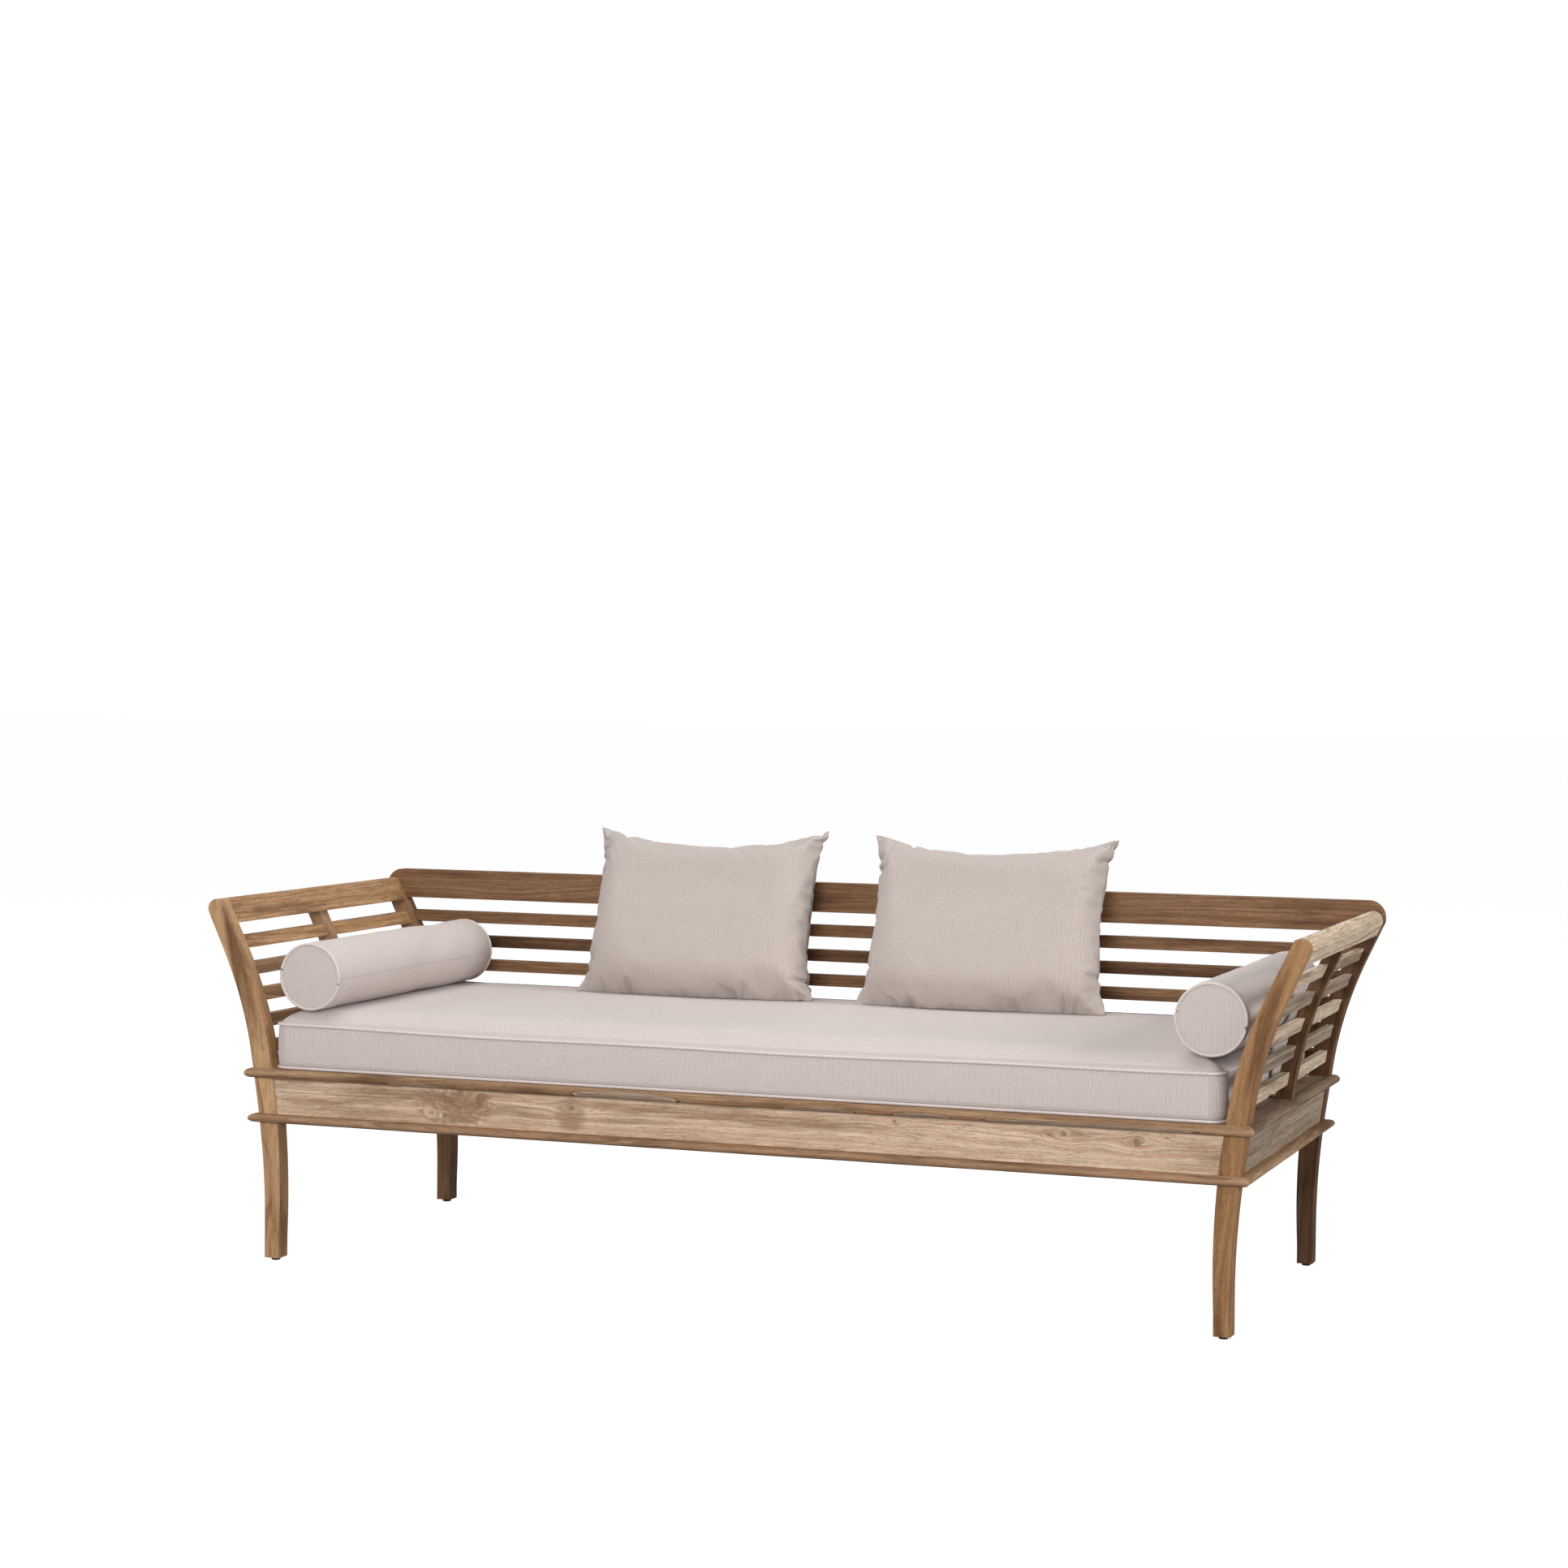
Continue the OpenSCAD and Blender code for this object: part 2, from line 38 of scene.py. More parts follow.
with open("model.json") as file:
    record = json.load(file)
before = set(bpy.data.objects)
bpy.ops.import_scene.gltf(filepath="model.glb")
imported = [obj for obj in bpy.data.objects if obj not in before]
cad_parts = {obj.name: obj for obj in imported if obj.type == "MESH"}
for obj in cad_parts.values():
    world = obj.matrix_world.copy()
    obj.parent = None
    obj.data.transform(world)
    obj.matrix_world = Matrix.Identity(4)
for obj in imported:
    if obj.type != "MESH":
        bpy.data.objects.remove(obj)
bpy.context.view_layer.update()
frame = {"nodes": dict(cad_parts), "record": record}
MM = 0.001
scene = bpy.context.scene
BENCH = bpy.data.scenes.new("bench")


# ---------------------------------------------------------------- node trees

class Tree:
    """Adds nodes to one node tree; each call returns an output socket."""

    def __init__(self, tree):
        self.tree = tree

    def node(self, kind, settings=None, **inputs):
        made = self.tree.nodes.new(kind)
        for key, value in (settings or {}).items():
            setattr(made, key, value)
        for key, value in inputs.items():
            self.feed(made.inputs[key.replace("_", " ")], value)
        return made

    def feed(self, socket, value):
        if isinstance(value, bpy.types.NodeSocket):
            self.tree.links.new(value, socket)
        else:
            socket.default_value = value

    def math(self, operation, a, b=0.0, c=0.0, clamp=False):
        made = self.tree.nodes.new("ShaderNodeMath")
        made.operation = operation
        made.use_clamp = clamp
        for socket, value in zip(made.inputs, (a, b, c)):
            self.feed(socket, value)
        return made.outputs[0]

    def times(self, a, b):
        return self.math("MULTIPLY", a, b)

    def plus(self, a, b):
        return self.math("ADD", a, b)

    def minus(self, a, b):
        return self.math("SUBTRACT", a, b)

    def times_plus(self, a, b, c, clamp=False):
        return self.math("MULTIPLY_ADD", a, b, c, clamp)

    def both_ways(self, value, by):
        """A noise from 0 to 1 as a move of up to half of by either way."""
        return self.times(self.minus(value, 0.5), by)

    def vector(self, operation, a, b=(0, 0, 0)):
        made = self.tree.nodes.new("ShaderNodeVectorMath")
        made.operation = operation
        self.feed(made.inputs[0], a)
        if operation == "SCALE":
            self.feed(made.inputs["Scale"], b)
        elif operation != "LENGTH":
            self.feed(made.inputs[1], b)
        return made.outputs["Value" if operation in ("LENGTH", "DOT_PRODUCT") else "Vector"]

    def stretch(self, vector, by):
        return self.vector("MULTIPLY", vector, by)

    def split(self, vector):
        return self.node("ShaderNodeSeparateXYZ", Vector=vector).outputs

    def join(self, x, y, z=0.0):
        return self.node("ShaderNodeCombineXYZ", X=x, Y=y, Z=z).outputs[0]

    def noise(self, vector, scale=1.0, detail=2.0, roughness=0.5, colour=False):
        made = self.node("ShaderNodeTexNoise", Vector=vector, Scale=scale, Detail=detail, Roughness=roughness)
        return made.outputs["Color" if colour else "Fac"]

    def noise_1d(self, value, scale=1.0, detail=2.0):
        settings = {"noise_dimensions": "1D"}
        made = self.node("ShaderNodeTexNoise", settings, W=value, Scale=scale, Detail=detail)
        return made.outputs["Fac"]

    def step(self, value, low, high, to_low=0.0, to_high=1.0):
        """A smooth step from to_low at low to to_high at high."""
        made = self.node(
            "ShaderNodeMapRange", {"interpolation_type": "SMOOTHSTEP"},
            Value=value, From_Min=low, From_Max=high, To_Min=to_low, To_Max=to_high,
        )
        return made.outputs[0]

    def mix(self, factor, a, b, blend="MIX"):
        made = self.tree.nodes.new("ShaderNodeMix")
        made.data_type = "RGBA"
        made.blend_type = blend
        made.clamp_factor = True
        self.feed(made.inputs[0], factor)
        self.feed(made.inputs[6], as_colour(a))
        self.feed(made.inputs[7], as_colour(b))
        return made.outputs[2]

    def attribute(self, name):
        return self.node("ShaderNodeAttribute", {"attribute_name": name}).outputs["Vector"]


def as_colour(value):
    return (*value, 1.0) if isinstance(value, tuple) and len(value) == 3 else value


def principled(name, roughness, **constants):
    """A material with a Principled shader; constants go on its sockets unlinked."""
    material = bpy.data.materials.new(name)
    material.use_nodes = True
    tree = Tree(material.node_tree)
    shader = material.node_tree.nodes["Principled BSDF"]
    tree.feed(shader.inputs["Roughness"], roughness)
    for key, value in constants.items():
        shader.inputs[key.replace("_", " ")].default_value = value
    return material, tree, shader


def bump(tree, shader, height, distance, strength=1.0):
    made = tree.node("ShaderNodeBump", Height=height, Distance=distance, Strength=strength)
    tree.feed(shader.inputs["Normal"], made.outputs[0])


# ---------------------------------------------------------------- teak

# Colours of the boards: body, pale figure, dark figure
TONES = {
    "honey": ((0.365, 0.190, 0.078), (0.500, 0.305, 0.160), (0.140, 0.064, 0.024)),
    "amber": ((0.270, 0.130, 0.048), (0.380, 0.205, 0.090), (0.130, 0.054, 0.018)),
    "bleached": ((0.560, 0.385, 0.255), (0.730, 0.555, 0.410), (0.250, 0.140, 0.072)),
    "tan": ((0.290, 0.160, 0.080), (0.430, 0.270, 0.155), (0.110, 0.052, 0.024)),
    "russet": ((0.275, 0.150, 0.079), (0.400, 0.243, 0.141), (0.110, 0.052, 0.025)),
    "brown": ((0.190, 0.093, 0.041), (0.295, 0.160, 0.080), (0.075, 0.031, 0.012)),
    "dark": ((0.110, 0.048, 0.019), (0.180, 0.090, 0.042), (0.042, 0.017, 0.006)),
    # cream: paler wood raised further as painted light; used on the right arm.
    "cream": ((0.560, 0.415, 0.280), (0.760, 0.630, 0.480), (0.190, 0.110, 0.060)),
    "grey": ((0.285, 0.205, 0.140), (0.440, 0.350, 0.265), (0.120, 0.078, 0.048)),
    "umber": ((0.175, 0.112, 0.068), (0.275, 0.190, 0.125), (0.075, 0.045, 0.026)),
}
PITH = 0.055
RING = 0.0072


def teak_group():
    """Solid wood in grain space: x along the grain, y and z from the pith, in metres."""
    group = bpy.data.node_groups.new("teak_figure", "ShaderNodeTree")
    group.interface.new_socket("Grain", in_out="INPUT", socket_type="NodeSocketVector")
    for name in ("Bands", "Lines", "Fibre", "Pores", "Blotches"):
        group.interface.new_socket(name, in_out="OUTPUT", socket_type="NodeSocketFloat")
    tree = Tree(group)
    grain = tree.node("NodeGroupInput").outputs[0]
    result = tree.node("NodeGroupOutput")

    def stretched(vector, along, across, **settings):
        return tree.noise(tree.stretch(vector, (along, across, across)), **settings)

    centre = (0.5, 0.5, 0.5)
    slow = tree.vector("SUBTRACT", stretched(grain, 1.5, 9, detail=1.5, colour=True), centre)
    quick = tree.vector("SUBTRACT", stretched(grain, 10, 70, detail=2, colour=True), centre)
    moved = tree.vector("ADD", grain, tree.stretch(slow, (0, 0.050, 0.050)))
    moved = tree.vector("ADD", moved, tree.stretch(quick, (0, 0.0030, 0.0030)))
    radius = tree.vector("LENGTH", tree.stretch(moved, (0, 1, 1)))
    uneven = tree.times_plus(tree.noise_1d(radius, 46, 1), 0.010, radius)
    phase = tree.math("FRACT", tree.math("DIVIDE", uneven, RING))
    line = tree.step(phase, 0.0, 0.34, 1.0, 0.0)
    broken = tree.step(stretched(moved, 5, 34, detail=2), 0.34, 0.62)
    tree.feed(result.inputs["Bands"], tree.noise_1d(radius, 130, 3))
    tree.feed(result.inputs["Lines"], tree.times(line, broken))
    tree.feed(result.inputs["Fibre"], stretched(moved, 16, 620, detail=3, roughness=0.6))
    pores = stretched(moved, 70, 1500, detail=1)
    tree.feed(result.inputs["Pores"], tree.step(pores, 0.60, 0.70))
    tree.feed(result.inputs["Blotches"], stretched(moved, 2.6, 24, detail=4, roughness=0.6))
    return group


TEAK_GROUP = teak_group()


def teak(
    name, tone, lines=0.55, pores=0.45, contrast=1.0, open_grain=0.0, knots=(), pale=(), clouds=(), burl=None,
):
    """One board's material. Places are along and across its face, in metres: knots have a radius, and
    pale waney spots, darker clouds and the burl with its wild grain have a half length and a half width.
    A cloud's last number is its strength."""
    body, light, dark = TONES[tone]
    material, tree, shader = principled("teak_" + name, 0.62, Specular_IOR_Level=0.32, IOR=1.45)
    grain = tree.attribute("grain")
    face = tree.attribute("face")
    across = tree.split(face)
    shades = []

    if burl:
        within = patch(tree, across, *burl)
        wild = tree.noise(tree.stretch(grain, (8, 15, 15)), detail=2, roughness=0.6, colour=True)
        wild = tree.vector("SUBTRACT", wild, (0.5, 0.5, 0.5))
        wild = tree.stretch(wild, (0.100, 0.085, 0.085))
        stained = tree.times(within, 0.55)
        grain = tree.vector("ADD", grain, tree.vector("SCALE", wild, within))
    for along, side, radius in knots:
        offset = tree.stretch(tree.vector("SUBTRACT", face, (along, side, 0)), (1, 1, 0))
        nearness = tree.vector("LENGTH", tree.stretch(offset, (0.42 / radius, 1 / radius, 0)))
        pull = tree.math("POWER", 2.718, tree.times(tree.math("POWER", nearness, 2), -0.22))
        bend = tree.times(tree.split(offset)[1], pull)
        grain = tree.vector("SUBTRACT", grain, tree.join(0.0, tree.times(bend, 1.25), 0.0))
        distance = tree.vector("LENGTH", tree.vector("SCALE", offset, 1 / radius))
        ragged = tree.noise(tree.vector("SCALE", face, 0.9 / radius), detail=3)
        distance = tree.plus(distance, tree.both_ways(ragged, 1.1))
        shades.append((distance, tree.step(distance, 0.35, 1.0, 1.0, 0.0)))

    figure = tree.node("ShaderNodeGroup", {"node_tree": TEAK_GROUP})
    tree.feed(figure.inputs[0], grain)
    bands, line, fibre, pore, blotch = (figure.outputs[i] for i in range(5))
    colour = tree.mix(tree.step(bands, 0.36, 0.64), body, light)
    colour = tree.mix(tree.times(tree.step(blotch, 0.50, 0.30), 0.80 * contrast), colour, dark)
    colour = tree.mix(tree.times(tree.step(blotch, 0.52, 0.70), 0.70), colour, light)
    colour = tree.mix(tree.times(tree.step(fibre, 0.56, 0.38), 0.50 * contrast), colour, dark)
    colour = tree.mix(tree.times(line, lines * contrast), colour, dark)
    colour = tree.mix(tree.times(pore, pores), colour, tuple(0.45 * c for c in dark))
    height = tree.times_plus(fibre, 0.55, tree.times(line, -0.35))
    height = tree.times_plus(pore, -0.8 - open_grain, height)
    if open_grain:
        grit = tree.step(tree.noise(tree.stretch(grain, (420, 900, 900)), detail=1), 0.57, 0.66)
        colour = tree.mix(tree.times(grit, open_grain), colour, dark)
        height = tree.times_plus(grit, -open_grain, height)

    if burl:
        marks = tree.noise(tree.stretch(grain, (60, 90, 90)), detail=3)
        colour = tree.mix(tree.times(stained, tree.step(marks, 0.62, 0.40)), colour, dark)
    for *place, strength in clouds:
        zone = soft_patch(tree, across, blotch, *place)
        streaky = tree.times(zone, tree.step(fibre, 0.75, 0.35, 0.35, 1.0))
        colour = tree.mix(tree.times(streaky, strength), colour, tuple(0.9 * c for c in dark))
    for distance, within in shades:
        rings = tree.step(tree.math("SINE", tree.times(distance, 21.0)), -0.6, 0.9)
        heart = tree.mix(rings, tuple(0.35 * c for c in dark), tuple(0.85 * c for c in body))
        colour = tree.mix(tree.times(within, 0.92), colour, heart)
        height = tree.times_plus(within, -0.5, height)
    for spot in pale:
        within = patch(tree, across, *spot)
        sap = tree.mix(tree.step(fibre, 0.35, 0.65), (0.17, 0.115, 0.080), (0.36, 0.27, 0.20))
        rim = tree.times(tree.step(within, 0.0, 0.25), tree.step(within, 0.65, 0.3))
        colour = tree.mix(tree.step(within, 0.15, 0.5), colour, sap)
        bright = tree.times(tree.step(within, 0.35, 0.55), tree.step(within, 0.95, 0.7))
        colour = tree.mix(tree.times(bright, 0.7), colour, (0.50, 0.38, 0.27))
        colour = tree.mix(tree.times(rim, 0.85), colour, tuple(0.5 * c for c in dark))

    # The eased edges are painted lighter in patches: rubbed wear, and partly a painted highlight where the
    # edges catch the light.
    edge_wear_and_highlight = tree.split(tree.attribute("edge_wear_and_highlight"))[0]
    worn = tree.times(tree.step(edge_wear_and_highlight, 0.35, 0.95), tree.step(blotch, 0.30, 0.62))
    colour = tree.mix(tree.times(worn, 0.45), colour, tuple(min(1.0, 1.25 * c) for c in light))
    tree.feed(shader.inputs["Base Color"], colour)
    rough = tree.times_plus(fibre, -0.22, 0.74)
    tree.feed(shader.inputs["Roughness"], tree.times_plus(pore, 0.12, rough, clamp=True))
    bump(tree, shader, height, 0.0005, 0.55)
    return material


def lens(tree, across, along, side, half_along, half_side):
    """0 at the middle of a lens on the board's face, and 1 on its rim."""
    x = tree.math("DIVIDE", tree.minus(across[0], along), half_along)
    y = tree.math("DIVIDE", tree.minus(across[1], side), half_side)
    return tree.plus(tree.times(x, x), tree.times(y, y))


def soft_patch(tree, across, blotch, *place):
    """A cloud of darker wood with no edge."""
    edge = tree.plus(lens(tree, across, *place), tree.both_ways(blotch, 3.0))
    return tree.step(edge, 0.1, 1.3, 1.0, 0.0)


def patch(tree, across, *place):
    """1 inside a lens on the board's face, falling to 0 over its ragged rim."""
    ragged = tree.noise(tree.join(tree.times(across[0], 30), tree.times(across[1], 90)), detail=2)
    edge = tree.plus(lens(tree, across, *place), tree.both_ways(ragged, 0.7))
    return tree.step(edge, 0.7, 1.15, 1.0, 0.0)


# ---------------------------------------------------------------- timber boards

def side_pair(name, tones, **settings):
    return {f"{name}_{side}": dict(tone=tone, **settings) for side, tone in zip(("left", "right"), tones)}


# Each board: its tone, the axis its grain runs along, and what its figure shows.
BOARDS = {
    "post_front_left": dict(
        tone="honey", axis="post", lines=0.75, seed=4,
        clouds=(
            (0.22, -0.1995, 0.20, 0.004, 0.85), (0.56, -0.2090, 0.15, 0.005, 0.70),
            (0.05, -0.2000, 0.26, 0.060, 0.42),
        ),
    ),
    "post_front_right": dict(tone="amber", axis="post", lines=0.35, open_grain=0.5, seed=9),
    "post_rear_left": dict(tone="brown", axis="post"),
    # Its dark tone is painted shade, for its shaded sides.
    "post_rear_right": dict(tone="dark", axis="post"),
    "apron_front": dict(
        tone="bleached", axis="x", contrast=0.80, lines=0.46, pores=0.65,
        knots=(
            (-0.595, 0.320, 0.008), (-0.571, 0.346, 0.008), (-0.559, 0.366, 0.009), (-0.316, 0.352, 0.007),
            (0.681, 0.3595, 0.008), (0.820, 0.353, 0.009), (0.352, 0.363, 0.005),
        ),
        burl=(-0.575, 0.340, 0.090, 0.045), fine=True,
        clouds=(
            (-0.68, 0.360, 0.17, 0.016, 0.80), (-0.56, 0.335, 0.07, 0.032, 0.72),
            (-0.46, 0.335, 0.11, 0.018, 0.62), (-0.316, 0.335, 0.035, 0.036, 0.78),
            (0.16, 0.350, 0.28, 0.012, 0.70), (-0.20, 0.360, 0.16, 0.010, 0.60),
            (0.68, 0.362, 0.07, 0.012, 0.50), (-0.90, 0.330, 0.08, 0.008, 0.40),
        ),
    ),
    "apron_rear": dict(tone="brown", axis="x"),
    "upper_ledge_front": dict(
        tone="tan", axis="x", lines=0.5, fine=True,
        pale=(
            (-0.656, 0.3772, 0.060, 0.0045), (-0.196, 0.3800, 0.115, 0.0100), (0.205, 0.3775, 0.075, 0.0040),
            (0.410, 0.3780, 0.058, 0.0060), (0.735, 0.3790, 0.205, 0.0050),
        ),
    ),
    "upper_ledge_rear": dict(tone="brown", axis="x"),
    "lower_ledge_front": dict(tone="russet", axis="x", lines=0.7),
    "lower_ledge_rear": dict(tone="brown", axis="x"),
    "back_rail": dict(tone="brown", axis="x", lines=0.45, contrast=0.8),
    "back_stile_left": dict(tone="brown", axis="z"),
    "back_stile_right": dict(tone="brown", axis="z"),
    "back_slat_1": dict(tone="brown", axis="x", fine=True),
    "back_slat_2": dict(tone="dark", axis="x"),
    "back_slat_3": dict(tone="brown", axis="x"),
    "back_slat_4": dict(tone="dark", axis="x"),
    "back_slat_5": dict(tone="brown", axis="x"),
    "deck_ledger_front": dict(tone="brown", axis="x"),
    "deck_ledger_rear": dict(tone="brown", axis="x"),
    "deck_beam": dict(tone="brown", axis="x"),
    "deck_slats": dict(tone="tan", axis="y"),
}
BOARDS.update(side_pair("apron", ("brown", "grey"), axis="y"))
BOARDS.update(side_pair("upper_ledge", ("tan", "umber"), axis="y"))
BOARDS.update(side_pair("lower_ledge", ("russet", "tan"), axis="y"))
# The right arm's cream tone is the wood's own paler grey-cream, raised further as painted light for the light
# from the right.
BOARDS.update(side_pair("arm_rail", ("honey", "cream"), axis="y", lines=0.75))
# Both stiles are toned darker than their slats, the right one dark: painted shade for their shaded side
# faces.
BOARDS.update(side_pair("arm_stile", ("tan", "dark"), axis="post"))
for number in range(1, 6):
    BOARDS[f"arm_slat_left_{number}"] = dict(tone="honey" if number % 2 else "tan", axis="y", lines=0.6)
    BOARDS[f"arm_slat_right_{number}"] = dict(tone="cream" if number % 2 else "grey", axis="y", lines=0.6)

EASED = 1.7 * MM
JOINT_SHARE = 0.22
UNEVEN = 0.35 * MM


def solid_of(node):
    """The CAD node's mesh with its split corners joined and its flat faces whole."""
    bm = bmesh.new()
    bm.from_mesh(frame["nodes"][node].data)
    bmesh.ops.remove_doubles(bm, verts=bm.verts, dist=3e-6)
    bmesh.ops.dissolve_limit(bm, angle_limit=math.radians(0.12), verts=bm.verts, edges=bm.edges)
    bm.normal_update()
    return bm


def inside(tree, point):
    """Whether a point is inside a closed mesh, by the number of walls a ray crosses."""
    direction = Vector((0.8913, 0.3137, 0.3272)).normalized()
    crossings, start = 0, point.copy()
    while crossings < 64:
        hit = tree.ray_cast(start, direction)[0]
        if hit is None:
            break
        crossings += 1
        start = hit + direction * 1e-6
    return crossings % 2 == 1


SOLIDS = {node: solid_of(node) for node in BOARDS}
TREES = {node: BVHTree.FromBMesh(bm) for node, bm in SOLIDS.items()}
BOXES = {node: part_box(node) for node in BOARDS}


def touching(node, margin=1.5 * MM):
    """The boards whose boxes reach this one's."""
    low, high = BOXES[node]
    return [
        other for other in BOARDS
        if other != node and all(
            BOXES[other][0][i] < high[i] + margin and BOXES[other][1][i] > low[i] - margin for i in range(3)
        )
    ]


def piece_of(bm, name):
    """A new object with the bmesh's mesh."""
    mesh = bpy.data.meshes.new(name)
    bm.to_mesh(mesh)
    piece = bpy.data.objects.new(name, mesh)
    scene.collection.objects.link(piece)
    return piece


def dressed(piece, material, body, slot, *nodes):
    """Gives the piece its material and puts it on its body in place of its CAD nodes."""
    piece.data.materials.clear()
    piece.data.materials.append(material)
    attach(piece, body)
    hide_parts(*nodes)
    return piece


def crisp(piece, degrees):
    """Smooth shading with sharp edges where the surface turns by more than this."""
    piece.data.shade_smooth()
    piece.data.set_sharp_from_angle(angle=math.radians(degrees))


def joint_faces(bm, node):
    """Faces that lie against another board."""
    others = touching(node)
    found = set()
    for face in bm.faces:
        point = face.calc_center_median() + face.normal * 0.4 * MM
        if any(inside(TREES[other], point) for other in others):
            found.add(face.index)
    return found


def eased(bm, node, width):
    """Weights each sharp edge for the bevel: full between open faces, small at a joint."""
    bm.faces.ensure_lookup_table()
    bm.faces.index_update()
    hidden = joint_faces(bm, node)
    weights = bm.edges.layers.float.new("bevel_weight_edge")
    for edge in bm.edges:
        if len(edge.link_faces) != 2 or edge.calc_face_angle_signed(0) < math.radians(35):
            continue
        covered = sum(face.index in hidden for face in edge.link_faces)
        edge[weights] = (1.0, JOINT_SHARE, 0.0)[covered]
    piece = piece_of(bm, "teak_" + node)
    bevel = piece.modifiers.new("eased", "BEVEL")
    bevel.limit_method = "WEIGHT"
    bevel.width = width
    bevel.segments = 3
    bevel.use_clamp_overlap = True
    applied(piece)
    return piece


def bench_depsgraph():
    """Evaluates the bench scene, which holds only the piece being made."""
    with bpy.context.temp_override(scene=BENCH, view_layer=BENCH.view_layers[0]):
        return bpy.context.evaluated_depsgraph_get()


def applied(piece):
    """Applies the piece's modifiers to its mesh."""
    if piece.name not in BENCH.collection.objects:
        BENCH.collection.objects.link(piece)
    mesh = bpy.data.meshes.new_from_object(piece.evaluated_get(bench_depsgraph()))
    BENCH.collection.objects.unlink(piece)
    piece.modifiers.clear()
    old = piece.data
    piece.data = mesh
    bpy.data.meshes.remove(old)
    mesh.name = piece.name


def sliced(bm, axis, spacing):
    """Cuts the mesh across one axis at even steps, so that its faces can be uneven."""
    values = [v.co[axis] for v in bm.verts]
    low, high = min(values), max(values)
    normal = Vector([float(i == axis) for i in range(3)])
    count = max(1, round((high - low) / spacing))
    ahead = bm.verts[:] + bm.edges[:] + bm.faces[:]
    for i in range(1, count):
        where = low + (high - low) * i / count
        cut = bmesh.ops.bisect_plane(bm, geom=ahead, plane_co=normal * where, plane_no=normal, dist=1e-6)
        ahead = [part for part in cut["geom"] if reaches(part, axis, where)]


def reaches(part, axis, where):
    """Whether any of a vertex, edge or face is on the far side of a cut."""
    if isinstance(part, bmesh.types.BMVert):
        return part.co[axis] > where - 1e-6
    return any(vert.co[axis] > where + 1e-6 for vert in part.verts)


def centre_line(node):
    """(heights, x) of the middle of an upright board that bends with the posts."""
    points = np.array([v.co for v in frame["nodes"][node].data.vertices])
    levels = np.linspace(points[:, 2].min(), points[:, 2].max(), 25)
    reach = (levels[1] - levels[0]) * 0.75
    near = [points[abs(points[:, 2] - z) < reach, 0] for z in levels]
    return levels, np.array([(x.min() + x.max()) / 2 for x in near])


def along_across(node, axis, points):
    """Grain coordinates of the points: along the grain, across it, and through the thickness."""
    x, y, z = points.T
    if axis == "x":
        return np.stack([x, z, y], 1)
    if axis == "y":
        return np.stack([y, z, x], 1)
    if axis == "z":
        return np.stack([z, x, y], 1)
    levels, middle = centre_line(node)
    return np.stack([z, x - 0.8 * np.interp(z, levels, middle), y], 1)


def store(mesh, name, values):
    layer = mesh.attributes.get(name) or mesh.attributes.new(name, "FLOAT_VECTOR", "POINT")
    layer.data.foreach_set("vector", np.asarray(values, np.float32).ravel())


def cut_up(mesh, axis, fine, tall):
    """Cuts a board across its length, and a tall one across its height too."""
    bm = bmesh.new()
    bm.from_mesh(mesh)
    sliced(bm, axis, 7 * MM if fine else 30 * MM)
    if tall:
        sliced(bm, 2, 14 * MM)
    bm.to_mesh(mesh)
    bm.free()


def board(node, tone, axis="x", seed=None, fine=False, **figure):
    """A worn copy of one CAD board: eased edges, slightly uneven faces, its own teak."""
    draw = random.Random(f"{node}{seed or 0}")
    piece = eased(SOLIDS[node], node, EASED)
    mesh = piece.data
    if axis in "xy":
        cut_up(mesh, "xy".index(axis), fine, tall=BOXES[node][1].z - BOXES[node][0].z > 45 * MM)
    points = positions(piece)
    normals = np.array([v.normal for v in mesh.vertices])
    grain = along_across(node, axis, points)
    shift = draw.uniform(2, 40)
    lumps = np.array([
        noise.noise(Vector((g[0] * 7 + shift, g[1] * 35, g[2] * 35))) for g in grain
    ])
    mesh.vertices.foreach_set("co", (points + normals * (lumps * UNEVEN)[:, None]).ravel())
    store(mesh, "face", grain)
    angle = draw.uniform(0, 2 * math.pi)
    reach = PITH * draw.uniform(0.7, 1.8)
    middle = (grain[:, 1:].max(0) + grain[:, 1:].min(0)) / 2
    from_pith = grain[:, 1:] - middle + reach * np.array([math.cos(angle), math.sin(angle)])
    store(mesh, "grain", np.column_stack([grain[:, 0] + shift, from_pith]))
    # Nearness to an eased edge, which the teak paints lighter: rubbed wear and a painted highlight.
    store(mesh, "edge_wear_and_highlight", np.repeat(edge_nearness(mesh)[:, None], 3, 1))
    crisp(piece, 32)
    weighted = piece.modifiers.new("flat faces", "WEIGHTED_NORMAL")
    weighted.keep_sharp = True
    dressed(piece, teak(node, tone, **figure), "frame", SLOTS[node], node)


def edge_nearness(mesh):
    """1 at points on an eased edge, 0 on the open faces."""
    bm = bmesh.new()
    bm.from_mesh(mesh)
    bm.normal_update()
    near = np.zeros(len(bm.verts))
    for vert in bm.verts:
        turn = max((face.normal.angle(vert.normal, 0.0) for face in vert.link_faces), default=0.0)
        near[vert.index] = min(1.0, turn / 0.35)
    bm.free()
    return near


SLOTS = {row["node"]: row["material_slot"] for row in frame["record"]["subparts"]}


# ---------------------------------------------------------------- fabric

COLUMN = 4.6 * MM
ROW = 3.4 * MM

# Dull and bright threads, slubs, worn threads, dirt, and the dark of the holes
FABRIC_COLOURS = (
    (0.560, 0.468, 0.434), (0.690, 0.628, 0.602), (0.610, 0.530, 0.498),
    (0.570, 0.485, 0.455), (0.420, 0.330, 0.295), (0.105, 0.065, 0.050),
)


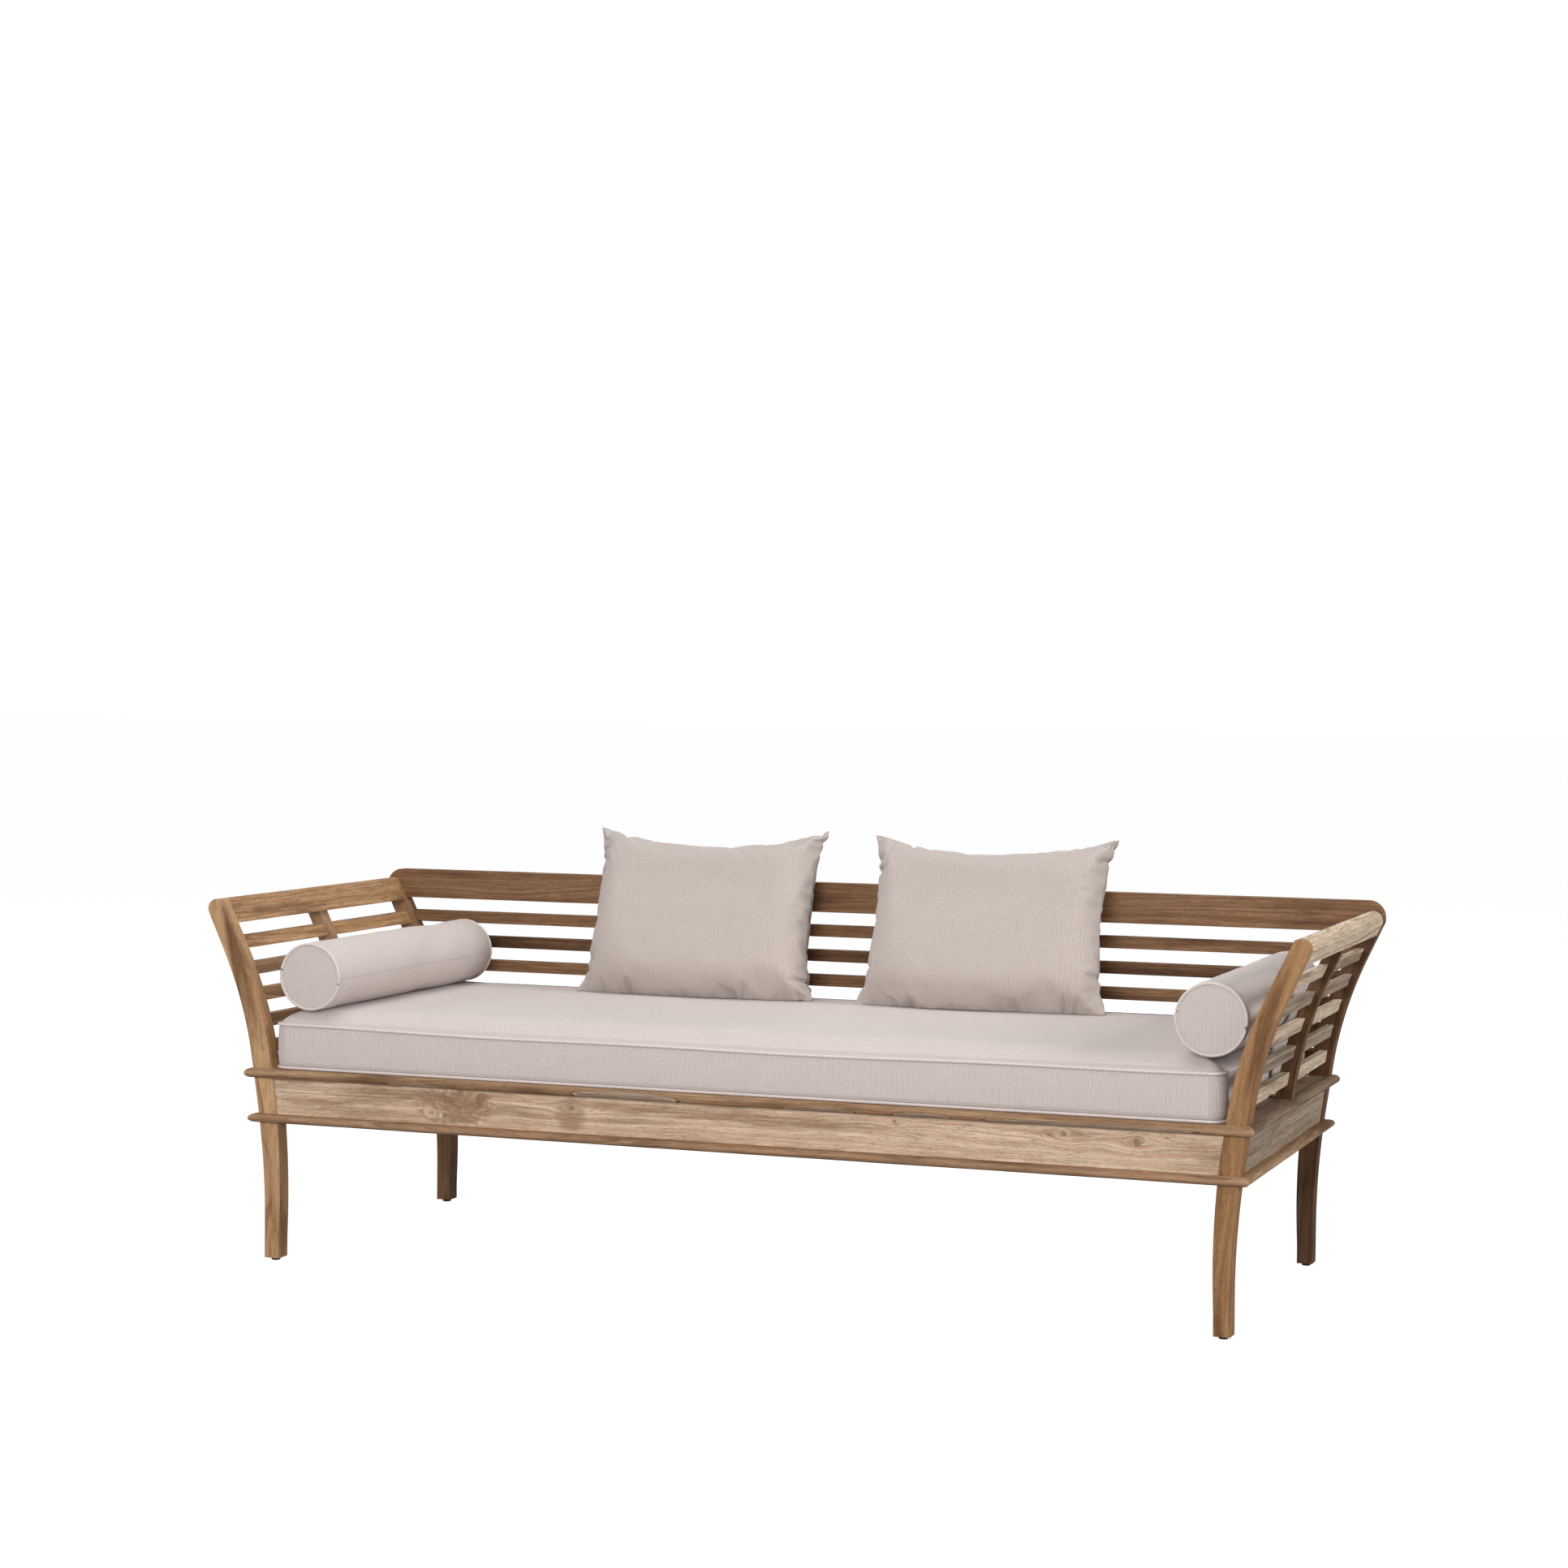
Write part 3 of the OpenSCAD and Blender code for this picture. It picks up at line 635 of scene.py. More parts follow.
def fabric(name, slubs=1.0, pale=1.0, warm=1.0):
    """Two-tone basket weave with a dark dot in every second crossing, some deeper than others, and
    threads that drift a little, in the cloth's own u and v."""
    material, tree, shader = principled(
        name, 0.88, Specular_IOR_Level=0.25, IOR=1.45, Sheen_Weight=0.22, Sheen_Roughness=0.5,
    )
    cloth = tree.attribute("cloth")
    u, v, _ = tree.split(cloth)
    uneven = tree.noise(tree.stretch(cloth, (34, 34, 1)), detail=2, colour=True)
    drift_u, drift_v, _ = tree.split(tree.vector("SUBTRACT", uneven, (0.5, 0.5, 0.5)))
    column = tree.math("DIVIDE", tree.times_plus(drift_u, 8 * MM, u), COLUMN)
    row = tree.math("DIVIDE", tree.times_plus(drift_v, 5 * MM, v), ROW)
    odd = tree.math("MODULO", tree.math("FLOOR", tree.plus(column, 5000.0)), 2.0)
    row = tree.plus(row, tree.times(odd, 0.5))
    du = tree.times(tree.minus(tree.math("FRACT", column), 0.5), COLUMN / MM / 0.72)
    dv = tree.times(tree.minus(tree.math("FRACT", row), 0.5), ROW / MM / 1.05)
    dot = tree.plus(tree.times(du, du), tree.times(dv, dv))
    cell = tree.join(tree.math("FLOOR", column), tree.math("FLOOR", row))
    depth = tree.step(tree.noise(cell, 0.71, 1), 0.32, 0.62, 0.35, 1.0)
    dot = tree.times(tree.step(dot, 0.45, 1.25, 1.0, 0.0), depth)
    over = tree.math("SINE", tree.times(column, 4 * math.pi))
    under = tree.math("SINE", tree.times(row, 4 * math.pi))
    basket = tree.times_plus(tree.times(over, under), 0.5, 0.5)
    threads = tree.noise(tree.stretch(cloth, (420, 160, 1)), detail=2)
    slub = tree.noise(tree.stretch(cloth, (230, 16, 1)), detail=2)
    cross = tree.noise(tree.stretch(cloth, (16, 230, 1)), detail=2)
    cloudy = tree.noise(tree.stretch(cloth, (16, 16, 1)), detail=3)
    # pale scales every colour of the cloth: below 1 it is painted shade, above 1 a painted highlight.
    shade = (pale, pale, pale * warm)
    dull, bright, thread, worn, dirt, hole = (
        tuple(a * b for a, b in zip(shade, colour)) for colour in FABRIC_COLOURS
    )
    colour = tree.mix(tree.step(basket, 0.10, 0.90, 0.18, 0.82), dull, bright)
    colour = tree.mix(tree.times(tree.step(threads, 0.35, 0.65), 0.35), colour, thread)
    colour = tree.mix(tree.times(tree.step(slub, 0.56, 0.74), 0.22 * slubs), colour, dirt)
    colour = tree.mix(tree.times(tree.step(cross, 0.56, 0.74), 0.16 * slubs), colour, dirt)
    colour = tree.mix(tree.times(tree.step(cloudy, 0.3, 0.7), 0.14), colour, worn)
    colour = tree.mix(tree.times(dot, 0.74), colour, hole)
    # Painted shade: cloth within a few millimetres of a seam is painted darker, standing in for the shade
    # beside the cord and the sewn edge.
    seam_shade = tree.step(tree.split(tree.attribute("seam"))[0], 0.0042, 0.0028)
    colour = tree.mix(tree.times(seam_shade, 0.45), colour, (0.20, 0.145, 0.12))
    tree.feed(shader.inputs["Base Color"], colour)
    height = tree.times_plus(threads, 0.35, basket)
    height = tree.times_plus(dot, -0.6, height)
    bump(tree, shader, height, 0.0005, 0.6)
    return material


FABRIC = fabric("basket_weave")
# The pillows' cloth is the same cloth painted about a sixth darker and a little warmer: painted shade.
SHADED_PILLOW_FABRIC = fabric("basket_weave_pillow_shaded", pale=0.835, warm=0.975)
# The cords' cloth is the same cloth painted paler: a painted highlight along the cords.
HIGHLIT_PIPING = fabric("basket_weave_piping_highlit", slubs=0.3, pale=1.14)


def new_piece(name, points, faces):
    mesh = bpy.data.meshes.new(name)
    mesh.from_pydata([tuple(p) for p in points], [], faces)
    mesh.update()
    piece = bpy.data.objects.new(name, mesh)
    scene.collection.objects.link(piece)
    return piece


def positions(piece):
    out = np.empty(len(piece.data.vertices) * 3)
    piece.data.vertices.foreach_get("co", out)
    return out.reshape(-1, 3)


def move_to(piece, points):
    piece.data.vertices.foreach_set("co", np.asarray(points, float).ravel())
    piece.data.update()


def inflated(piece, pressure, frames, tension=40.0, shear=4.0, bending=0.6, pinned=None, limit=None):
    """Blows the piece up as a cloth bag, and keeps each point within limit of where it was."""
    before = positions(piece)
    cloth = piece.modifiers.new("Cloth", "CLOTH")
    settings = cloth.settings
    settings.quality = 6
    settings.mass = 0.3
    settings.tension_stiffness = tension
    settings.compression_stiffness = tension
    settings.shear_stiffness = shear
    settings.bending_stiffness = bending
    settings.use_pressure = True
    settings.uniform_pressure_force = pressure
    settings.effector_weights.gravity = 0
    cloth.collision_settings.use_collision = False
    if pinned is not None:
        group = piece.vertex_groups.new(name="pinned")
        group.add([int(i) for i in pinned], 1.0, "REPLACE")
        settings.vertex_group_mass = "pinned"
    cloth.point_cache.frame_start = 1
    cloth.point_cache.frame_end = frames
    BENCH.collection.objects.link(piece)
    for number in range(1, frames + 1):
        BENCH.frame_set(number)
    applied(piece)
    BENCH.frame_set(1)
    if limit:
        travel = positions(piece) - before
        length = np.linalg.norm(travel, axis=1, keepdims=True)
        move_to(piece, before + travel * np.minimum(1, limit / np.maximum(length, 1e-9)))


def smoothed(piece, levels=1):
    divided = piece.modifiers.new("rounded", "SUBSURF")
    divided.levels = levels
    divided.render_levels = levels
    applied(piece)
    piece.data.shade_smooth()


def tube(name, path, radius, sides=10):
    """A closed round cord along a loop of points, with its cloth laid on the bias."""
    path = [Vector(p) for p in path]
    count = len(path)
    points, cloth, run = [], [], 0.0
    for i, centre in enumerate(path):
        ahead = (path[(i + 1) % count] - path[i - 1]).normalized()
        side = ahead.cross(Vector((0, 0, 1)))
        side = side.normalized() if side.length > 0.2 else ahead.cross(Vector((1, 0, 0))).normalized()
        up = side.cross(ahead)
        run += (centre - path[i - 1]).length if i else 0.0
        swell = radius * (1 + 0.05 * noise.noise(centre * 60))
        for k in range(sides):
            angle = 2 * math.pi * k / sides
            points.append(centre + (side * math.cos(angle) + up * math.sin(angle)) * swell)
            around = radius * angle
            cloth.append(((run + around) * 0.7071, (run - around) * 0.7071, 0))

    def at(i, k):
        return (i % count) * sides + k % sides

    faces = [
        (at(i, k), at(i, k + 1), at(i + 1, k + 1), at(i + 1, k)) for i in range(count) for k in range(sides)
    ]
    piece = new_piece(name, points, faces)
    store(piece.data, "cloth", cloth)
    store(piece.data, "seam", np.ones((len(points), 3)))
    return piece


def joined(name, parts):
    """Several mesh objects as one, which takes their place."""
    bm = bmesh.new()
    for part in parts:
        bm.from_mesh(part.data)
    for part in parts:
        bpy.data.objects.remove(part)
    piece = piece_of(bm, name)
    bm.free()
    piece.data.shade_smooth()
    return piece


def cushion(piece, body, *nodes, fill=0.7, cover=None):
    """Puts a finished cushion on its body in place of its CAD solids."""
    dressed(piece, cover or FABRIC, body, "fabric", *nodes)


# ---------------------------------------------------------------- mattress

MATTRESS_LOW, MATTRESS_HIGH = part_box("mattress_cover")
PIPING_LOW, PIPING_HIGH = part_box("mattress_piping")
PIPE = PIPING_HIGH.x - MATTRESS_HIGH.x
CORNER = 30 * MM
SEAT = MATTRESS_HIGH.z + 3 * MM


def edge_sag(x):
    """How far the top piping hangs below its ends; it dips most left of the middle."""
    hang = math.cos(0.5 * math.pi * (x + 0.12) / (MATTRESS_HIGH.x + 0.14))
    return 6.5 * MM * max(0.0, hang) + 1.2 * MM * math.sin(9 * x)


def inset_of(x, y, half_x, half_y):
    """How far a point of the plan is from the rounded outline."""
    cx, cy = abs(x) - (half_x - CORNER), abs(y) - (half_y - CORNER)
    return CORNER - math.hypot(max(cx, 0), max(cy, 0)) - min(max(cx, cy), 0)


def mattress_plan(i, j, across, deep, half_x, half_y):
    """A grid point of a panel, with the panel's corners rounded."""
    x, y = half_x * (2 * i / across - 1), half_y * (2 * j / deep - 1)
    cx, cy = abs(x) - (half_x - CORNER), abs(y) - (half_y - CORNER)
    reach = math.hypot(max(cx, 0), max(cy, 0))
    if cx > 0 and cy > 0 and reach > 1e-9:
        pull = max(cx, cy) / reach
        x = math.copysign(half_x - CORNER + cx * pull, x)
        y = math.copysign(half_y - CORNER + cy * pull, y)
    return x, y


def swell_of(out, half_x, half_y, share):
    """How far the boxing stands out between its cords; it is flat at the back, for the zip."""
    if out.y > half_y - 1 * MM:
        return Vector((0, 0, 0))
    way = Vector(((out.x / half_x) ** 15, (out.y / half_y) ** 15, 0))
    way = way.normalized() if way.length > 1e-9 else way
    return way * (2.2 * MM * math.sin(math.pi * share))


def mattress_pattern(half_x, half_y, mid, top_z, bottom_z):
    """Two panels and the boxing between them: points, faces, the two seams, and the base's points."""
    across, deep, rows = 150, 60, 8
    points, faces, index = [], [], {}
    for face in ("top", "bottom"):
        for j in range(deep + 1):
            for i in range(across + 1):
                x, y = mattress_plan(i, j, across, deep, half_x, half_y)
                inset = inset_of(x, y, half_x, half_y)
                rise = 1 - (1 - min(1, inset / 0.07)) ** 2.6
                if face == "top":
                    z = top_z - edge_sag(x) * (1 - rise) + (SEAT - top_z + 4 * MM) * rise
                else:
                    z = bottom_z - (bottom_z - MATTRESS_LOW.z - 0.5 * MM) * min(1, inset / 0.012)
                index[face, i, j] = len(points)
                points.append(Vector((mid.x + x, mid.y + y, z)))
    ring = [(i, 0) for i in range(across)] + [(across, j) for j in range(deep)]
    ring += [(i, deep) for i in range(across, 0, -1)] + [(0, j) for j in range(deep, 0, -1)]
    count = len(ring)
    for n, (i, j) in enumerate(ring):
        index["side", n, 0], index["side", n, rows] = index["bottom", i, j], index["top", i, j]
    for row in range(1, rows):
        for n in range(count):
            foot, head = points[index["side", n, 0]], points[index["side", n, rows]]
            swell = swell_of(foot - mid, half_x, half_y, row / rows)
            index["side", n, row] = len(points)
            points.append(foot.lerp(head, row / rows) + swell)
    for j in range(deep):
        for i in range(across):
            faces.append([index["top", *p] for p in ((i, j), (i + 1, j), (i + 1, j + 1), (i, j + 1))])
            faces.append([index["bottom", *p] for p in ((i, j), (i, j + 1), (i + 1, j + 1), (i + 1, j))])
    for n in range(count):
        for row in range(rows):
            corners = ((n, row), (n + 1, row), (n + 1, row + 1), (n, row + 1))
            faces.append([index["side", m % count, level] for m, level in corners])
    seams = [[index["side", n, row] for n in range(count)] for row in (rows, 0)]
    base = [index["bottom", i, j] for i in range(across + 1) for j in range(deep + 1)]
    return points, faces, seams, base


def mattress():
    """Boxed mattress: its pattern, held at the seams and blown up, with a cord in each seam."""
    low, high = MATTRESS_LOW, MATTRESS_HIGH
    half_x, half_y = (high.x - low.x) / 2, (high.y - low.y) / 2
    mid = Vector(((low.x + high.x) / 2, (low.y + high.y) / 2, 0))
    top_z, bottom_z = PIPING_HIGH.z - PIPE, low.z + PIPE
    points, faces, seams, base = mattress_pattern(half_x, half_y, mid, top_z, bottom_z)
    piece = new_piece("mattress", points, faces)
    pinned = seams[0] + seams[1] + base
    inflated(piece, 1.2, 12, tension=30, shear=6, bending=1.5, pinned=pinned, limit=10 * MM)
    settle_mattress(piece, top_z)
    store(piece.data, "cloth", mattress_cloth(positions(piece), top_z, bottom_z))
    store(piece.data, "seam", mattress_seam(positions(piece), half_x, half_y, mid, top_z, bottom_z))
    smoothed(piece)
    cushion(piece, "mattress", "mattress_cover", "mattress_core", fill=0.85)
    cords = [tube("loop", dense([points[i] for i in seam]), PIPE) for seam in seams]
    dressed(joined("mattress_cords", cords), HIGHLIT_PIPING, "mattress", "fabric", "mattress_piping")


def settle_mattress(piece, top_z):
    """Brings the crown to its height, keeps the back flat for the zip, and the base on the deck."""
    points = positions(piece)
    crown = points[:, 2] > top_z + 1 * MM
    rise = points[crown, 2] - top_z
    share = rise / (SEAT - top_z)
    points[crown, 2] = top_z + (SEAT - top_z) * share / (1 + share ** 12) ** (1 / 12)
    points[:, 1] = np.minimum(points[:, 1], MATTRESS_HIGH.y)
    points[:, 2] = np.maximum(points[:, 2], MATTRESS_LOW.z)
    ripple = np.array([noise.noise(Vector((p[0] * 5, p[1] * 9, 3))) for p in points])
    inset = np.minimum(points[:, 1] - MATTRESS_LOW.y, MATTRESS_HIGH.y - points[:, 1])
    inset = np.minimum(MATTRESS_HIGH.x - abs(points[:, 0]), inset)
    soft = np.clip(inset / 0.05, 0, 1) * (points[:, 2] > top_z)
    points[:, 2] += (ripple - 0.4) * 1.2 * MM * soft
    move_to(piece, points)


def mattress_seam(points, half_x, half_y, mid, top_z, bottom_z):
    """Distance of each point from the nearer cord."""
    out = np.empty((len(points), 3))
    for row, (x, y, z) in zip(out, points):
        inset = abs(inset_of(x - mid.x, y - mid.y, half_x, half_y))
        cord = top_z - edge_sag(x - mid.x)
        row[:] = min(math.hypot(inset, z - cord), math.hypot(inset, z - bottom_z))
    return out


def mattress_cloth(points, top_z, bottom_z):
    """Cloth coordinates: flat on the panels, and round the boxing along its length."""
    x, y, z = points.T
    side = (z < top_z - 0.5 * MM) & (z > bottom_z + 0.5 * MM)
    end = side & (abs(x) > MATTRESS_HIGH.x - CORNER * 0.5)
    u = np.where(end, y + 0.3, x)
    v = np.where(side, z, y)
    return np.column_stack([u, v, np.zeros_like(u)])


def dense(loop, times=2):
    """The loop with smooth points between its own."""
    count = len(loop)
    out = []
    for i in range(count):
        a, b, c, d = loop[i - 1], loop[i], loop[(i + 1) % count], loop[(i + 2) % count]
        for step in range(times):
            t = step / times
            square = (2 * a - 5 * b + 4 * c - d) * t * t
            out.append(0.5 * (2 * b + (c - a) * t + square + (3 * b - a - 3 * c + d) * t ** 3))
    return out


# ---------------------------------------------------------------- pillows

LEAN = math.radians(18)


def pucker(x, z, half_w, half_h, seed):
    """The small gathers that a sewn seam leaves in the cloth beside it."""
    along, inset = (z, half_w - abs(x)) if half_w - abs(x) < half_h - abs(z) else (x, half_h - abs(z))
    wave = math.sin(along * 2 * math.pi / 0.034 + 5 * noise.noise(Vector((along * 14, seed, 0))))
    strength = 1.2 + noise.noise(Vector((along * 9, seed, 4)))
    return 2.4 * MM * strength * wave * math.exp(-inset / 0.022) * min(1, inset / 0.006)


def pillow_pattern(flat_w, flat_h, across, up, seed):
    """Two flat panels sewn round: points, faces, the seam's index, and each point's place (-1 to 1)."""
    points, index, places = [], {}, []
    for face in (0, 1):
        for j in range(up + 1):
            for i in range(across + 1):
                if face and (i in (0, across) or j in (0, up)):
                    index[face, i, j] = index[0, i, j]
                    continue
                a, b = 2 * i / across - 1, 2 * j / up - 1
                x = a * flat_w / 2
                z = b * (flat_h / 2 + (30 * MM * (1 - a ** 4) if b < 0 else 0.0))
                puff = 4 * MM * math.sqrt(max(0, (1 - a * a) * (1 - b * b)))
                puff += pucker(a * flat_w / 2, b * flat_h / 2, flat_w / 2, flat_h / 2, seed + face)
                rough = 0.9 * MM * noise.noise(Vector((a * 8 + seed, b * 6, face * 5)))
                index[face, i, j] = len(points)
                points.append((x, (puff if face else -puff) + rough, z))
                places.append((a, b))
    faces = []
    for j in range(up):
        for i in range(across):
            ring = ((i, j), (i + 1, j), (i + 1, j + 1), (i, j + 1))
            faces.append([index[0, *p] for p in ring])
            faces.append([index[1, *p] for p in reversed(ring)])
    return points, faces, index, np.array(places)


def pillow(side, seed, tilt):
    """Knife-edge pillow: its pattern, blown up, drawn to its outline and set against the back."""
    node = f"pillow_cover_{side}"
    low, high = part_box(node)
    width = high.x - low.x
    height = (high.z - low.z - 5 * MM * math.sin(LEAN)) / math.cos(LEAN)
    across, up = 120, 84
    points, faces, index, places = pillow_pattern(width * 1.055, height * 1.02, across, up, seed)
    piece = new_piece(f"pillow_{side}", points, faces)
    cloth = np.array([(p[0], p[2], 0) for p in points])
    inflated(piece, 3.6, 26, tension=45, shear=3.5, bending=0.5)
    shape = positions(piece)
    size = shape.max(0) - shape.min(0)
    shape *= np.array([width, 0.150, height]) / size
    shape -= (shape.max(0) + shape.min(0)) / 2
    shape = outlined(shape, places, index, across, up, width, height)
    shape[:, 1] *= 1 - 0.16 * shape[:, 2] / (height / 2)
    move_to(piece, shape)
    calm_foot(piece, width, height)
    store(piece.data, "cloth", cloth)
    edge = ((1 - abs(places)) * np.array([width, height]) / 2).min(1)
    store(piece.data, "seam", np.repeat(edge[:, None] * 1.3 + 0.8 * MM, 3, 1))
    smoothed(piece)
    piece.data.transform(Matrix.Rotation(tilt, 4, "Y"))
    piece.data.transform(Matrix.Rotation(-LEAN, 4, "X"))
    middle = Vector(((low.x + high.x) / 2, 284 * MM, MATTRESS_HIGH.z + 1 * MM + height / 2 * math.cos(LEAN)))
    piece.data.transform(Matrix.Translation(middle))
    rest_pillow(piece, middle.x, width)
    cushion(piece, f"pillow_{side}", node, f"pillow_insert_{side}", fill=0.65, cover=SHADED_PILLOW_FABRIC)


def calm_foot(piece, width, height):
    """Evens out the gathers over the foot between the corners, where the filling lies."""
    bm = bmesh.new()
    bm.from_mesh(piece.data)
    low = [v for v in bm.verts if v.co.z < -0.18 * height and abs(v.co.x) < 0.41 * width]
    for _ in range(14):
        bmesh.ops.smooth_vert(bm, verts=low, factor=0.5, use_axis_x=False, use_axis_y=True, use_axis_z=False)
    bm.to_mesh(piece.data)
    bm.free()


def outlined(shape, places, index, across, up, width, height):
    """Draws the seam to a pillow's outline: ears at the corners, hollow sides, a full foot."""
    a, b = places.T
    out = shape.copy()
    for axis, along, side, reach, hollow, power in (
        (2, a, b, height / 2, (-12 * MM, 48 * MM), 1.7),
        (0, b, a, width / 2, (21 * MM, 26 * MM), 3.0),
    ):
        for sign in (-1, 1):
            if axis == 2:
                seam = [index[0, i, up if sign > 0 else 0] for i in range(across + 1)]
            else:
                seam = [index[0, across if sign > 0 else 0, j] for j in range(up + 1)]
            fit = np.polyfit(along[seam], shape[seam, axis], 6)
            wanted = sign * (reach - hollow[sign > 0] * (1 - abs(along) ** power))
            out[:, axis] += (wanted - np.polyval(fit, along)) * np.clip(sign * side, 0, 1) ** 2
    return out


def rest_pillow(piece, centre, width):
    """Flattens the pillow's foot on the mattress, and its back against the rail."""
    points = positions(piece)
    floor = SEAT + 0.2 * MM
    sunk = np.maximum(floor - points[:, 2], 0)
    points[:, 2] = np.maximum(points[:, 2], floor)
    near = np.exp(-(points[:, 2] - floor) / 0.028)
    across = (points[:, 0] - centre) / (width / 2)
    foot = points[:, 1][points[:, 2] < floor + 2 * MM].mean()
    points[:, 1] += np.where(points[:, 1] < foot, -9 * MM, 0) * near - sunk * 0.2
    points[:, 0] += np.sign(across) * abs(across) ** 6 * 7 * MM * near
    rail_low, rail_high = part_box("back_rail")
    wall = np.where(points[:, 2] > rail_low.z - 6 * MM, rail_low.y - 0.6 * MM, rail_low.y - 0.2 * MM)
    wall = np.where(points[:, 2] > rail_high.z + 4 * MM, 1.0, wall)
    points[:, 1] = np.minimum(points[:, 1], wall)
    move_to(piece, points)


# ---------------------------------------------------------------- bolsters

def bolster_pattern(radius, seam, half, seed, spin):
    """A sleeve and its two end discs: points, faces, cloth coordinates, and the two seams."""
    around, long, discs = 84, 110, 9
    points, faces, cloth = [], [], []

    def shape(angle, s):
        soft = 0.9 * MM * noise.noise(Vector((math.cos(angle) * 2, s * 6 + seed, math.sin(angle) * 2)))
        dent = 5.0 * MM * math.exp(-((s - 0.45 - 0.35 * math.sin(angle + spin)) / 0.16) ** 2)
        return seam + 0.4 * MM + soft - dent * (0.5 + 0.5 * math.cos(angle + spin + 0.6))

    for j in range(long + 1):
        s = 2 * j / long - 1
        for i in range(around):
            angle = 2 * math.pi * i / around
            r = seam if j in (0, long) else shape(angle, s)
            points.append((r * math.cos(angle), s * half, r * math.sin(angle)))
            cloth.append((s * half, (angle - math.pi) * radius, 0))
    for j in range(long):
        for i in range(around):
            k = (i + 1) % around
            faces.append((j * around + i, j * around + k, (j + 1) * around + k, (j + 1) * around + i))
    for end, row in ((-1, 0), (1, long)):
        outer = [row * around + i for i in range(around)]
        for d in range(1, discs + 1):
            r = seam * (1 - d / discs)
            if d == discs:
                inner = [len(points)]
                points.append((0, end * half, 0))
                cloth.append((0, 0, 0))
            else:
                inner = []
                for i in range(around):
                    angle = 2 * math.pi * i / around
                    inner.append(len(points))
                    points.append((r * math.cos(angle), end * half, r * math.sin(angle)))
                    cloth.append((r * math.cos(angle), r * math.sin(angle), 0))
            for i in range(around):
                k = (i + 1) % around
                tip = (inner[0],) if d == discs else (inner[k], inner[i])
                face = (outer[i], outer[k], *tip)
                faces.append(face[::-1] if end < 0 else face)
            outer = inner
    seams = [range(0, around), range(long * around, (long + 1) * around)]
    return points, [face[::-1] for face in faces], cloth, seams


def bolster(side, seed, spin):
    """Round bolster: a sleeve with two discs, blown up, with a cord sewn round each end."""
    node = f"bolster_cover_{side}"
    low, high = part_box(node)
    radius, half = (high.z - low.z) / 2, (high.y - low.y) / 2 - 2 * MM
    seam = radius - PIPE * 0.9
    points, faces, cloth, seams = bolster_pattern(radius, seam, half, seed, spin)
    piece = new_piece(f"bolster_{side}", points, faces)
    inflated(piece, 2.2, 14, tension=45, shear=5, bending=0.8, limit=7 * MM)
    shape_now = positions(piece)
    middle = Vector(((low.x + high.x) / 2, (low.y + high.y) / 2, (low.z + high.z) / 2))
    rings = [[Vector(shape_now[i]) for i in loop] for loop in seams]
    store(piece.data, "cloth", cloth)
    smoothed(piece)
    disc_cloth(piece, half)
    ends = positions(piece)
    on_disc = abs(ends[:, 1]) > half - 1.5 * MM
    edge = np.where(on_disc, abs(seam - np.hypot(ends[:, 0], ends[:, 2])), half - abs(ends[:, 1]))
    store(piece.data, "seam", np.repeat(edge[:, None], 3, 1))
    body = positions(piece)
    reach = np.hypot(body[:, 0], body[:, 2])
    fat = (radius + 0.6 * MM) / np.percentile(reach, 97)
    sleeve = np.clip((half - abs(body[:, 1])) / 0.035, 0, 1)
    body[:, 0] *= 1 + (fat - 1) * sleeve
    body[:, 2] *= 1 + (fat - 1) * sleeve
    body[:, 2] = np.maximum(body[:, 2], -radius)
    move_to(piece, body)
    place = Matrix.Translation(middle + Vector((0, 0, 3 * MM)))
    piece.data.transform(place)
    cushion(piece, f"bolster_{side}", node, f"bolster_core_{side}", fill=0.8)
    cords = []
    for ring in rings:
        for p in ring:
            grown = Vector((p.x, 0, p.z)).normalized() * (radius - PIPE)
            p.x, p.z = grown.x, grown.z
            p.y = math.copysign(half - 0.3 * MM, p.y)
        cords.append(tube("ring", [place @ p for p in ring], PIPE))
    piping = joined(f"bolster_{side}_cords", cords)
    dressed(piping, HIGHLIT_PIPING, f"bolster_{side}", "fabric", f"bolster_piping_{side}")


def disc_cloth(piece, half):
    """Lays the end discs' cloth flat across them."""
    mesh = piece.data
    points = positions(piece)
    layer = mesh.attributes["cloth"]
    cloth = np.empty(len(points) * 3, np.float32)
    layer.data.foreach_get("vector", cloth)
    cloth = cloth.reshape(-1, 3)
    ends = abs(points[:, 1]) > half - 1.5 * MM
    cloth[ends, 0] = points[ends, 0]
    cloth[ends, 1] = points[ends, 2]
    store(mesh, "cloth", cloth)


# ---------------------------------------------------------------- zip, screws and glides

def metal(name, colour, roughness):
    material, tree, shader = principled(name, roughness, Metallic=1.0)
    place = tree.node("ShaderNodeTexCoord").outputs["Object"]
    scratches = tree.noise(tree.stretch(place, (900, 300, 2500)), detail=3)
    clouds = tree.noise(place, 120, 3)
    tree.feed(shader.inputs["Base Color"], tree.mix(clouds, tuple(0.7 * c for c in colour), colour))
    tree.feed(shader.inputs["Roughness"], tree.times_plus(scratches, 0.3, roughness - 0.12))
    bump(tree, shader, scratches, 0.0001, 0.4)
    return material


def plastic(name, colour):
    material, tree, shader = principled(name, 0.5, IOR=1.46)
    place = tree.node("ShaderNodeTexCoord").outputs["Object"]
    scuffs = tree.noise(place, 420, 4)
    worn = tuple(2.2 * c for c in colour)
    tree.feed(shader.inputs["Base Color"], tree.mix(tree.step(scuffs, 0.45, 0.8), colour, worn))
    tree.feed(shader.inputs["Roughness"], tree.times_plus(scuffs, 0.35, 0.35))
    bump(tree, shader, scuffs, 0.0002, 0.5)
    return material


def softened(node, name, body, material, width, slot):
    """A copy of a small CAD node with eased edges."""
    bm = solid_of(node)
    piece = piece_of(bm, name)
    bm.free()
    bevel = piece.modifiers.new("eased", "BEVEL")
    bevel.limit_method = "ANGLE"
    bevel.angle_limit = math.radians(40)
    bevel.width = width
    bevel.segments = 2
    applied(piece)
    crisp(piece, 35)
    dressed(piece, material, body, slot, node)


